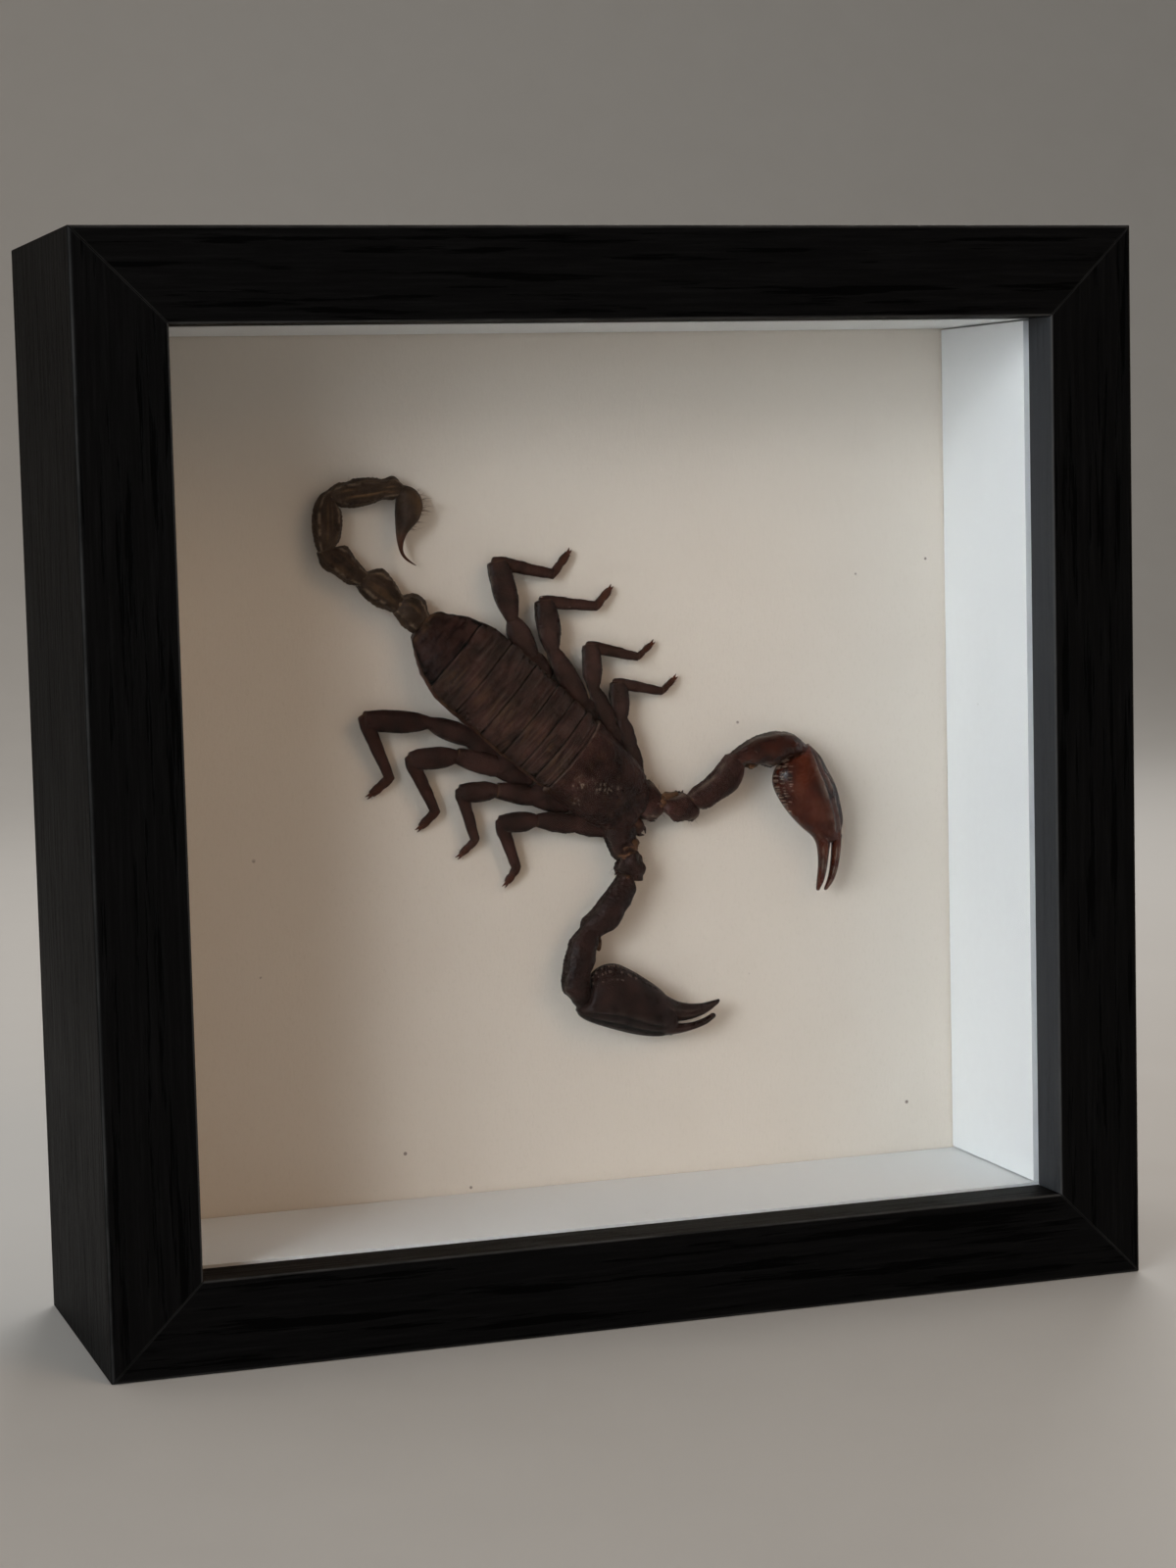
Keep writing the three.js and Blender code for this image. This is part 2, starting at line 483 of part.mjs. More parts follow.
// The four rails, liners and their tabs are one quarter turned about the frame's middle
const SIDES = ['bottom', 'left', 'top', 'right'];
SIDES.forEach((side, turn) => {
  const quarter = new THREE.Group();
  quarter.rotation.y = (turn * Math.PI) / 2;
  frame.add(quarter);
  addMesh(quarter, `rail_${side}`, railGeometry(), BLACK_WRAP);
  const upright = turn % 2 === 1;
  const linerHalf = upright ? SIGHT_HALF - CLEARANCE : FILL_HALF;
  addMesh(quarter, `liner_${side}`, boxGeometry(
    [-linerHalf, LINER_FRONT_Y, -FILL_HALF],
    [linerHalf, BOARD_FRONT_Y - CLEARANCE, -SIGHT_HALF],
  ), WHITE_LINER);
  [-1, 1].forEach((end, k) => {
    const railInside = -WELL_HALF - TAB.inRail;
    addMesh(quarter, `tab_${side}_${k + 1}`, boxGeometry(
      [end * TAB.fromCentre - TAB.width / 2, TAB_Y - TAB.thickness / 2, railInside],
      [end * TAB.fromCentre + TAB.width / 2, TAB_Y + TAB.thickness / 2, railInside + TAB.length],
    ), STEEL);
  });
});

const sheetGeometry = (frontY, backY) => boxGeometry(
  [-FILL_HALF, frontY, -FILL_HALF],
  [FILL_HALF, backY, FILL_HALF],
);
addMesh(frame, 'glass', sheetGeometry(GLASS_FRONT_Y, GLASS_FRONT_Y + GLASS_THICKNESS), CLEAR_GLASS);
addMesh(frame, 'board', sheetGeometry(BOARD_FRONT_Y, BOARD_FRONT_Y + BOARD_THICKNESS), CREAM_BOARD);
addMesh(frame, 'back_panel', sheetGeometry(PANEL_FRONT_Y, PANEL_BACK_Y), HARDBOARD);
const hanger = addMesh(frame, 'hanger', hangerGeometry(), STEEL);
hanger.position.set(0, PANEL_BACK_Y + CLEARANCE, HANG_HEIGHT - HANGER.toothDepth);

// The specimen lies on the board: its z, off the board, points out of the frame's front
const specimen = new THREE.Group();
specimen.rotation.x = Math.PI / 2;
specimen.position.y = BOARD_FRONT_Y;
frame.add(specimen);

const trunk = join([bodyTrunk(), jaw(-1), jaw(1)]);
const trunkRoom = join([bodyTrunk(CLEARANCE), jaw(-1), jaw(1)]);
const besideTrunk = (solid) => toGeometry(solid.subtract(trunkRoom));
const arm = (segments, lift, sides) => join(segments.map((rows) => crossedSegment(rows, lift, sides)));

addMesh(specimen, 'scorpion_body', toGeometry(trunk), DARK_CUTICLE);
addMesh(specimen, 'scorpion_tail', besideTrunk(arm(TAIL_SEGMENTS, TAIL_LIFT, TAIL_SIDES)), TAIL_CUTICLE);
addMesh(specimen, 'scorpion_claw_left', besideTrunk(arm(CLAW_LEFT, CLAW_LIFT, CLAW_SIDES)), RED_CUTICLE);
addMesh(specimen, 'scorpion_claw_right', besideTrunk(arm(CLAW_RIGHT, CLAW_LIFT, CLAW_SIDES)), DARK_CUTICLE);
for (const [name, joints] of Object.entries(LEGS)) {
  addMesh(specimen, `scorpion_${name}`, besideTrunk(leg(joints)), DARK_CUTICLE);
}

// The frame hangs from its nail
const framedScorpion = new THREE.Group();
frame.position.z = -HANG_HEIGHT;
framedScorpion.add(frame);

export default framedScorpion;
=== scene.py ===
import math

import bmesh
import bpy
import numpy as np
from mathutils import Matrix, Vector


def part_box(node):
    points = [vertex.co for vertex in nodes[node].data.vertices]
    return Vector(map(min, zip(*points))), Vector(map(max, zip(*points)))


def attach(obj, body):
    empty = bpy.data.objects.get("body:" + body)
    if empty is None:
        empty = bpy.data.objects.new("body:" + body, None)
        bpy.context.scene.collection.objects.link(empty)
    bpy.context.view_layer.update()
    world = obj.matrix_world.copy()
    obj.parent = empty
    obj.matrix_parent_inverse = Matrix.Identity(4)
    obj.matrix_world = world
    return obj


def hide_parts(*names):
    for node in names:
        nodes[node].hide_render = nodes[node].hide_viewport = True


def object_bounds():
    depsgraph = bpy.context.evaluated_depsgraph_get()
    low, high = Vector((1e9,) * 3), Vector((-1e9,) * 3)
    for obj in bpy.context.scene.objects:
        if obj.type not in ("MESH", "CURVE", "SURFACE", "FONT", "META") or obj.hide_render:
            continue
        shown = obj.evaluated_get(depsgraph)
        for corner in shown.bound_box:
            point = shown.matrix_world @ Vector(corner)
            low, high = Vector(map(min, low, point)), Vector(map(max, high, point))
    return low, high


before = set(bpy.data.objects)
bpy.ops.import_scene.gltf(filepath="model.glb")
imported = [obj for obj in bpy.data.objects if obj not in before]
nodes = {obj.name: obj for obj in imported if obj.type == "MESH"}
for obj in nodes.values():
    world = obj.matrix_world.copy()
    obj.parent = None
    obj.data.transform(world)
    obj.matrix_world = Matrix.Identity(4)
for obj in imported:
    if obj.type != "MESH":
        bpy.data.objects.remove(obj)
cad_low, cad_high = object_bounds()

MM = 0.001
SIDE_HALF = (cad_high.x - cad_low.x) / 2
MIDDLE_Z = (cad_high.z + cad_low.z) / 2
BOARD_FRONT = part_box("board")[0].y
OPENING_HALF = -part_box("rail_left")[1].x
rng = np.random.default_rng(7)


def add_object(name, data):
    added = bpy.data.objects.new(name, data)
    bpy.context.collection.objects.link(added)
    return added


# Camera: the photograph was taken from the left, a little above the middle of the picture
IMAGE_LONG_SIDE = 1600
FOCAL_PIXELS = 3370.4
SENSOR = 36
CAMERA_AT = Vector((-0.196903, -0.622009, MIDDLE_Z + 0.056163))
CAMERA_RIGHT = Vector((0.947696, -0.318229, -0.024544))
CAMERA_FORWARD = Vector((0.314743, 0.944541, -0.093700))

camera_data = bpy.data.cameras.new("camera")
camera_data.sensor_width = SENSOR
camera_data.lens = SENSOR * FOCAL_PIXELS / IMAGE_LONG_SIDE
camera = add_object("camera", camera_data)
camera_up = CAMERA_RIGHT.cross(CAMERA_FORWARD)
camera.matrix_world = Matrix.Translation(CAMERA_AT) @ Matrix(
    (CAMERA_RIGHT, camera_up, -CAMERA_FORWARD)
).transposed().to_4x4()
bpy.context.scene.camera = camera


# Materials are small node graphs
class Graph:
    """A material's nodes. The shader's own sockets take what is the same all over."""

    def __init__(self, name, **fixed):
        self.material = bpy.data.materials.new(name)
        self.material.use_nodes = True
        self.tree = self.material.node_tree
        self.shader = self.tree.nodes["Principled BSDF"]
        for socket, value in fixed.items():
            self.shader.inputs[socket.replace("_", " ")].default_value = value

    def feed(self, socket, value):
        if isinstance(value, bpy.types.NodeSocket):
            self.tree.links.new(value, socket)
        else:
            socket.default_value = value

    def add(self, kind, inputs, **settings):
        node = self.tree.nodes.new("ShaderNode" + kind)
        for name, value in settings.items():
            setattr(node, name, value)
        for name, value in inputs.items():
            self.feed(node.inputs[name], value)
        return node

    def place(self, scale=(1, 1, 1)):
        """Where a point is, in metres in the row's frame, stretched by scale."""
        where = self.add("TexCoord", {}).outputs["Object"]
        return self.add("Mapping", {"Vector": where, "Scale": scale}).outputs["Vector"]

    def noise(self, scale, stretch=(1, 1, 1), detail=4.0, roughness=0.55):
        inputs = {"Vector": self.place(stretch), "Scale": scale, "Detail": detail, "Roughness": roughness}
        return self.add("TexNoise", inputs).outputs["Fac"]

    def cells(self, scale):
        return self.add("TexVoronoi", {"Vector": self.place(), "Scale": scale}).outputs["Distance"]

    def specks(self, scale, size, patch_scale, rarity):
        """Small dots, only in some patches."""
        dots = self.span(self.cells(scale), *size)
        return self.times(dots, self.span(self.noise(patch_scale, detail=0), rarity, rarity + 0.05))

    def span(self, value, low, high, to_low=0.0, to_high=1.0):
        inputs = {"Value": value, "From Min": low, "From Max": high, "To Min": to_low, "To Max": to_high}
        return self.add("MapRange", inputs, interpolation_type="SMOOTHSTEP").outputs["Result"]

    def math(self, operation, first, second=0.0):
        return self.add("Math", {0: first, 1: second}, operation=operation).outputs["Value"]

    def times(self, first, second):
        return self.math("MULTIPLY", first, second)

    def ramp(self, value, *colours):
        node = self.add("ValToRGB", {"Fac": value})
        stops = node.color_ramp.elements
        while len(stops) < len(colours):
            stops.new(0.5)
        for i, colour in enumerate(colours):
            stops[i].position = i / (len(colours) - 1)
            stops[i].color = (*colour, 1)
        return node.outputs["Color"]

    def mix(self, share, first, second):
        """The first colour, going over to the second by share."""
        node = self.add("Mix", {"Factor": share}, data_type="RGBA")
        for name, value in (("A_Color", first), ("B_Color", second)):
            socket = next(s for s in node.inputs if s.identifier == name)
            self.feed(socket, value if isinstance(value, bpy.types.NodeSocket) else (*value, 1))
        return next(s for s in node.outputs if s.identifier == "Result_Color")

    def tint(self, name):
        return self.add("Attribute", {}, attribute_name=name).outputs["Fac"]

    def finish(self, colour=None, roughness=None, bumps=()):
        """Feeds the shader; bumps are pairs of a height and its depth in metres."""
        sockets = {"Base Color": colour, "Roughness": roughness}
        under = {}
        for height, depth in bumps:
            bump = self.add("Bump", {"Height": height, "Distance": depth, **under})
            under = {"Normal": bump.outputs["Normal"]}
        for name, value in {**sockets, **under}.items():
            if value is not None:
                self.feed(self.shader.inputs[name], value)
        return self.material


GRAIN_COLOURS = ((0.0012, 0.0012, 0.0013), (0.0040, 0.0040, 0.0042), (0.0105, 0.0105, 0.0110))
GRAIN_ALONG = 0.045  # scale of the grain along the rail, against 1 across it
GRAIN_DEPTH = 0.09 * MM
PORE_COLOUR = (0.0004, 0.0004, 0.0004)
WORN_AND_HIGHLIGHT_COLOUR = (0.09, 0.09, 0.09)
WORN_AND_HIGHLIGHT_WIDTH = 0.7 * MM
LIP_WIDTH = 0.5 * MM
FULLY_WORN_AND_HIGHLIT = 0.1 * MM
# Bare inner edge of the rails by their direction, with painted light: the upright ones, which face the side
# light, are painted paler
LIP_PAINTED_LIGHT_COLOURS = {0: (0.006, 0.005, 0.005), 2: (0.066, 0.069, 0.075)}


def wrap_black(name, along):
    """Black film pressed with wood grain, running along the rail, worn paler on its edges, with a painted
    highlight along them and painted light on the inner edge of the upright rails.
    """
    grain_stretch = [1.0, 1.0, 1.0]
    grain_stretch[along] = GRAIN_ALONG
    graph = Graph(name, Specular_IOR_Level=0.035)
    grain = graph.noise(1100, grain_stretch, detail=6, roughness=0.7)
    pores = graph.span(graph.noise(560, grain_stretch, detail=5, roughness=0.65), 0.54, 0.6)
    clouds = graph.noise(22, detail=3)
    colour = graph.ramp(grain, *GRAIN_COLOURS)
    colour = graph.mix(graph.times(pores, 0.9), colour, PORE_COLOUR)
    split = graph.add("SeparateXYZ", {"Vector": graph.place()})
    height = graph.math("SUBTRACT", split.outputs["Z"], MIDDLE_Z)
    across, upright = graph.math("ABSOLUTE", split.outputs["X"]), graph.math("ABSOLUTE", height)
    reach = graph.math("MAXIMUM", across, upright)
    off_mitre = graph.math("ABSOLUTE", graph.math("SUBTRACT", across, upright))
    front_edge = graph.span(split.outputs["Y"], cad_low.y + WORN_AND_HIGHLIGHT_WIDTH, cad_low.y + FULLY_WORN_AND_HIGHLIT)
    outer_edge = graph.span(reach, SIDE_HALF - WORN_AND_HIGHLIGHT_WIDTH, SIDE_HALF - FULLY_WORN_AND_HIGHLIT)
    sight_edge = graph.span(reach, OPENING_HALF + LIP_WIDTH, OPENING_HALF + FULLY_WORN_AND_HIGHLIT)
    # Painted light: the inner edge of the upright rails is painted paler, as if lit from the side
    colour = graph.mix(graph.times(sight_edge, 0.8), colour, LIP_PAINTED_LIGHT_COLOURS[along])
    # Paler edges: partly worn, partly a painted highlight along the front edges of the rails
    mitre_edge = graph.times(graph.span(off_mitre, 0.4 * MM, 0.15 * MM), 0.4)
    worn_and_highlit_edges = graph.math("MAXIMUM", graph.math("MAXIMUM", outer_edge, sight_edge), mitre_edge)
    rubbed = graph.times(worn_and_highlit_edges, front_edge)
    rubbed = graph.times(rubbed, graph.span(graph.noise(90), 0.3, 0.7, 0.25, 0.7))
    colour = graph.mix(rubbed, colour, WORN_AND_HIGHLIGHT_COLOUR)
    uneven = graph.math("ADD", grain, graph.times(clouds, 0.4))
    roughness = graph.span(uneven, 0.4, 1.0, 0.46, 0.66)
    return graph.finish(colour, roughness, [(grain, GRAIN_DEPTH), (pores, -GRAIN_DEPTH)])


def liner_white():
    """White painted board with a few specks of dust."""
    graph = Graph("liner_white")
    clouds = graph.noise(420, detail=4)
    colour = graph.ramp(clouds, (0.755, 0.772, 0.78), (0.80, 0.818, 0.825))
    dust = graph.specks(110, (0.03, 0.015), 80, 0.5)
    colour = graph.mix(graph.times(dust, 0.6), colour, (0.28, 0.26, 0.24))
    return graph.finish(colour, graph.span(clouds, 0.25, 0.75, 0.42, 0.5), [(graph.noise(900), 0.02 * MM)])


def board_cream():
    """Ivory mounting board: paper fibres, faint clouding and a few specks."""
    graph = Graph("board_cream")
    fibres = graph.noise(2200, (1, 1, 0.5), detail=5, roughness=0.7)
    clouds = graph.noise(14, detail=4)
    colour = graph.ramp(clouds, (0.66, 0.585, 0.50), (0.725, 0.656, 0.575), (0.77, 0.705, 0.625))
    colour = graph.mix(graph.span(fibres, 0.5, 0.8, 0, 0.35), colour, (0.60, 0.54, 0.45))
    specks = graph.specks(120, (0.055, 0.03), 90, 0.55)
    colour = graph.mix(graph.times(specks, 0.8), colour, (0.12, 0.08, 0.06))
    roughness = graph.span(fibres, 0.3, 0.7, 0.75, 0.92)
    return graph.finish(colour, roughness, [(fibres, 0.05 * MM)])


def glass_clear():
    """Low-reflection picture glass, hardly smudged."""
    graph = Graph("glass", Base_Color=(1, 1, 1, 1), Transmission_Weight=1.0, IOR=1.14)
    smudges = graph.span(graph.noise(9, (1, 1, 0.4), detail=2), 0.4, 0.8, 0.0, 0.008)
    return graph.finish(None, smudges)


def panel_brown():
    """Hardboard: brown fibres with darker clouds."""
    graph = Graph("panel_brown")
    fibres = graph.noise(700, (1, 1, 0.35), detail=6, roughness=0.7)
    colour = graph.ramp(fibres, (0.07, 0.035, 0.017), (0.15, 0.08, 0.04), (0.24, 0.14, 0.075))
    colour = graph.mix(graph.span(graph.noise(18), 0.4, 0.7, 0, 0.5), colour, (0.10, 0.052, 0.027))
    return graph.finish(colour, graph.span(fibres, 0.3, 0.7, 0.55, 0.8), [(fibres, 0.08 * MM)])


def steel():
    """Plated sheet, scratched and a little stained."""
    graph = Graph("steel", Metallic=1.0)
    scratches = graph.noise(1800, (0.06, 1, 1), detail=4)
    stains = graph.noise(260, detail=4)
    colour = graph.ramp(stains, (0.34, 0.34, 0.33), (0.55, 0.55, 0.55), (0.64, 0.64, 0.65))
    return graph.finish(colour, graph.span(scratches, 0.3, 0.7, 0.22, 0.45), [(scratches, 0.02 * MM)])


TAN = (0.27, 0.145, 0.055)
# Pale colour of worn ridges, also used for painted highlights and painted sheen
RUBBED_AND_HIGHLIGHT = (0.27, 0.215, 0.165)
RED = (0.115, 0.030, 0.012)
BLACK = (0.003, 0.003, 0.003)
GRAIN_HEIGHT = 0.12 * MM
PIT_DEPTH = 0.05 * MM


def cuticle(name, dark, middle, light, shine, gloss, pitted, varnish=0.0):
    """Dried shell: clouded brown, tan where soft skin shows, paler on worn ridges and where highlights and
    sheen are painted, darker where shade is painted, finely pitted.
    """
    graph = Graph(name, Specular_IOR_Level=shine, Coat_Weight=varnish, Coat_Roughness=0.07)
    clouds = graph.noise(230, detail=6, roughness=0.65)
    fine = graph.noise(1900, detail=3)
    colour = graph.ramp(graph.span(clouds, 0.28, 0.72), dark, middle, light)
    colour = graph.mix(graph.tint("red"), colour, RED)
    tan = graph.times(graph.tint("tan"), graph.span(graph.noise(700), 0.25, 0.6, 0.45, 1))
    colour = graph.mix(tan, colour, TAN)
    rubbed = graph.times(graph.tint("rubbed"), graph.span(fine, 0.3, 0.6, 0.5, 1))
    colour = graph.mix(rubbed, colour, RUBBED_AND_HIGHLIGHT)
    colour = graph.mix(graph.tint("black"), colour, BLACK)
    roughness = graph.span(graph.math("ADD", clouds, fine), 0.6, 1.4, gloss, gloss + 0.16)
    roughness = graph.math("SUBTRACT", roughness, graph.times(graph.tint("black"), gloss * 0.7))
    pits = graph.span(graph.noise(3400, detail=2), 0.35, 0.5)
    return graph.finish(colour, roughness, [(fine, pitted * GRAIN_HEIGHT), (pits, pitted * PIT_DEPTH)])


cuticle_dark = cuticle(
    "cuticle_dark", (0.011, 0.0030, 0.0019), (0.028, 0.0088, 0.0062), (0.056, 0.0215, 0.0165),
    shine=0.12, gloss=0.34, pitted=0.7,
)
cuticle_tail = cuticle(
    "cuticle_tail", (0.013, 0.0066, 0.0038), (0.029, 0.0155, 0.0092), (0.056, 0.0350, 0.0215),
    shine=0.14, gloss=0.38, pitted=0.8,
)
cuticle_red = cuticle(
    "cuticle_red", (0.020, 0.0030, 0.0012), (0.042, 0.0060, 0.0018), (0.068, 0.0120, 0.0036),
    shine=0.2, gloss=0.18, pitted=0.12, varnish=0.25,
)

SIDES_ALONG = {"top": 0, "bottom": 0, "left": 2, "right": 2}
white, metal = liner_white(), steel()
finishes = {"glass": glass_clear(), "board": board_cream(), "back_panel": panel_brown(), "hanger": metal}
for side, along in SIDES_ALONG.items():
    finishes["rail_" + side] = wrap_black("rail_black_" + side, along)
    finishes["liner_" + side] = white
    finishes["tab_%s_1" % side] = finishes["tab_%s_2" % side] = metal
for name, finish in finishes.items():
    for one in nodes[name].material_slots:
        one.material = finish
# Lamps reach the specimen through the pane
nodes["glass"].visible_shadow = False


# Numbers that look random but are the same in every run
def hashed(cell, seed):
    mixed = cell[..., 0] * 73856093 ^ cell[..., 1] * 19349663 ^ cell[..., 2] * 83492791 ^ seed * 2654435
    mixed = (mixed ^ (mixed >> 13)) * 1274126177 & 0x7FFFFFFF
    return (mixed ^ (mixed >> 16)) % 65536 / 65535


CORNERS = np.indices((2, 2, 2)).reshape(3, -1).T
AROUND = np.indices((3, 3, 3)).reshape(3, -1).T - 1


def noise(points, size, seed=1):
    """Smooth waves from -1 to 1, about size apart."""
    scaled = np.asarray(points) / size
    cell = np.floor(scaled).astype(np.int64)
    share = ease(scaled - cell, 0, 1)
    total = np.zeros(scaled.shape[:-1])
    for corner in CORNERS:
        weight = np.prod(np.where(corner == 1, share, 1 - share), axis=-1)
        total += weight * hashed(cell + corner, seed)
    return total * 2 - 1


def granules(points, size, seed=2):
    """Round grains about size apart: 1 on top of a grain, 0 between grains."""
    scaled = np.asarray(points) / size
    cell = np.floor(scaled).astype(np.int64)
    nearest = np.full(scaled.shape[:-1], 9.0)
    for step in AROUND:
        there = cell + step
        grain = there + np.stack([hashed(there, seed + k) for k in range(3)], axis=-1)
        nearest = np.minimum(nearest, np.linalg.norm(grain - scaled, axis=-1))
    return np.clip(1 - nearest / 0.62, 0, 1) ** 0.8


def bell(value, middle, width):
    return np.exp(-(((np.asarray(value) - middle) / width) ** 2))


def ease(value, low, high):
    share = np.clip((np.asarray(value) - low) / (high - low), 0, 1)
    return share * share * (3 - 2 * share)


TINTS = ("tan", "rubbed", "red", "black")


def patches(points, size, seed, low, high):
    """Soft-edged patches from 0 to 1, about size across."""
    return ease(noise(points, size, seed), low, high)


def unit(line):
    return line / np.linalg.norm(line)


def full_turn(count):
    return np.linspace(0, 2 * math.pi, count, endpoint=False)


class Shell:
    """Closed skins gathered into one mesh. Points are in board millimetres: right, up and off the board."""

    def __init__(self):
        self.points = []
        self.faces = []
        self.tints = {name: [] for name in TINTS}
        self.count = 0
        self.coat = 0
        self.coats = []

    def keep(self, points, tints):
        flat = points.reshape(-1, 3)
        self.points.append(flat)
        for name in TINTS:
            values = np.broadcast_to(tints.get(name, 0.0), points.shape[:-1])
            self.tints[name].append(np.clip(values.reshape(-1), 0, 1))
        first = self.count
        self.count += len(flat)
        return np.arange(first, self.count).reshape(points.shape[:-1])

    def face(self, corners):
        self.faces.extend(corners)
        self.coats.extend([self.coat] * len(corners))

    def quads(self, index, closed):
        ahead = np.roll(index, -1, axis=1) if closed else index[:, 1:]
        here = index if closed else index[:, :-1]
        corners = np.stack([here[:-1], ahead[:-1], ahead[1:], here[1:]], axis=-1)
        self.face(corners.reshape(-1, 4).tolist())

    def tube(self, rings, **tints):
        """Skin over rings from end to end, each end closed on its middle."""
        index = self.keep(rings, tints)
        self.quads(index, True)
        for end in (0, -1):
            ends = {name: np.mean(np.broadcast_to(v, rings.shape[:-1])[end]) for name, v in tints.items()}
            middle = self.keep(rings[end].mean(axis=0).reshape(1, 3), ends)[0]
            ring = index[end].tolist()
            self.face([[a, b, int(middle)] for a, b in zip(ring, ring[1:] + ring[:1])])

    def slab(self, outer, inner, **tints):
        """A thin curved plate between two grids of points."""
        top = self.keep(outer, tints)
        low = self.keep(inner, tints)
        self.quads(top, False)
        self.quads(low, False)
        rims = [
            np.concatenate([g[0], g[1:, -1], g[-1, -2::-1], g[-2:0:-1, 0]]) for g in (top, low)
        ]
        self.quads(np.stack(rims), True)

    def make(self, name, coats, slot, *stands_for):
        mesh = bpy.data.meshes.new(name)
        board = np.concatenate(self.points)
        placed = np.stack(
            [board[:, 0] * MM, BOARD_FRONT - board[:, 2] * MM, MIDDLE_Z + board[:, 1] * MM], axis=-1
        )
        mesh.from_pydata(placed.tolist(), [], self.faces)
        for tint in TINTS:
            layer = mesh.attributes.new(tint, "FLOAT", "POINT")
            layer.data.foreach_set("value", np.concatenate(self.tints[tint]).astype(np.float32))
        for material in coats:
            mesh.materials.append(material)
        mesh.polygons.foreach_set("material_index", self.coats)
        tidy = bmesh.new()
        tidy.from_mesh(mesh)
        bmesh.ops.recalc_face_normals(tidy, faces=tidy.faces)
        tidy.to_mesh(mesh)
        tidy.free()
        mesh.shade_smooth()
        piece = add_object(name, mesh)
        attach(piece, "root")
        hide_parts(*stands_for)


def spline(rows, step):
    """A smooth curve through the rows, with a point about every step."""
    rows = np.asarray(rows, float)
    ends = np.vstack([2 * rows[0] - rows[1], rows, 2 * rows[-1] - rows[-2]])
    out = []
    for before, here, there, after in zip(ends, ends[1:], ends[2:], ends[3:]):
        gap = np.linalg.norm((here[:2] + here[2:4] - there[:2] - there[2:4]) / 2)
        t = np.linspace(0, 1, max(2, math.ceil(gap / step)), endpoint=False)[:, None]
        out.append(
            here
            + (there - before) * t / 2
            + (before - 2.5 * here + 2 * there - after / 2) * t**2
            + (1.5 * here - before / 2 - 1.5 * there + after / 2) * t**3
        )
    out.append(rows[-1:])
    return np.vstack(out)


CAP_RINGS = 4
THINNEST = 0.05
FULL_RELIEF_AT = 0.8  # half width, in millimetres, from which the relief has its full height


class Limb:
    """One segment of a limb, with a skin of rings.

    A row is a cross line: its two ends, half its thickness and its height off the board. On a ring, 0 degrees
    is a row's first end, 90 faces the viewer and 180 is its second end.
    """

    def __init__(self, rows, sides, step, cap=0.4, start_cap=0.4, squareness=0.0):
        dense = spline(rows, step)
        flat = np.zeros(len(dense))
        one_end, other_end = dense[:, :2], dense[:, 2:4]
        centre = np.column_stack([(one_end + other_end) / 2, dense[:, 5]])
        across = np.column_stack([(one_end - other_end) / 2, flat])
        up = np.column_stack([flat, flat, np.maximum(dense[:, 4], THINNEST)])
        start, finish = centre[0] - centre[1], centre[-1] - centre[-2]
        turns = np.linspace(0, math.pi / 2, CAP_RINGS + 2)[1:-1]
        reach = np.sin(turns)[:, None]
        shrink = np.concatenate([np.cos(turns[::-1]), np.ones(len(dense)), np.cos(turns)])[:, None]
        nearest = np.clip(np.arange(-CAP_RINGS, len(dense) + CAP_RINGS), 0, len(dense) - 1)
        self.centre = np.vstack([
            centre[0] + start_cap * reach[::-1] * start / np.linalg.norm(start),
            centre,
            centre[-1] + cap * reach * finish / np.linalg.norm(finish),
        ])
        self.across = across[nearest] * shrink
        self.up = up[nearest] * shrink
        steps = np.linalg.norm(np.diff(self.centre, axis=0), axis=1)
        self.along = np.concatenate([[0], np.cumsum(steps)])
        self.share = (self.along / self.along[-1])[:, None]
        self.turn = full_turn(sides)
        cos, sin = (
            (np.sign(wave) * np.abs(wave) ** (1 - squareness))[None, :, None]
            for wave in (np.cos(self.turn), np.sin(self.turn))
        )
        round_part = self.across[:, None] * cos + self.up[:, None] * sin
        self.rings = self.centre[:, None] + round_part
        size = np.linalg.norm(round_part, axis=2, keepdims=True)
        self.outward = round_part / np.maximum(size, 1e-6)
        self.thick = np.clip(size[..., 0] / FULL_RELIEF_AT, 0, 1)

    def swell(self, height):
        """Moves the skin outwards by height, in millimetres, less where the limb is thin."""
        self.rings = self.rings + self.outward * (height * self.thick)[..., None]

    def angle_from(self, degrees):
        away = np.abs(self.turn - math.radians(degrees)) % (2 * math.pi)
        return np.degrees(np.minimum(away, 2 * math.pi - away))[None, :]

    def facing(self, width):
        """1 along the line that faces the viewer, falling off within width degrees."""
        return bell(self.angle_from(90), 0, width)

    def patches(self, size, seed, low, high):
        return patches(self.rings, size, seed, low, high)

    def keel(self, degrees, width, height, pitch=0.0):
        """A raised ridge along the limb, knobbly with the given pitch. Returns where it is."""
        ridge = bell(self.angle_from(degrees), 0, width) * np.ones((len(self.along), 1))
        knobs = 1.0
        if pitch:
            drift = 0.5 * noise(self.centre, 2.2 * pitch, 3)
            knobs = 0.4 + 0.6 * np.abs(np.cos(math.pi * (self.along / pitch + drift)))[:, None]
        self.swell(height * ridge * knobs * np.sin(math.pi * np.clip(self.share, 0.02, 0.98)) ** 0.4)
        return ridge

    def ends(self, width):
        """1 at both ends, falling to 0 within width millimetres."""
        near = np.minimum(self.along, self.along[-1] - self.along)
        return (1 - ease(near, 0, width))[:, None] * np.ones(len(self.turn))


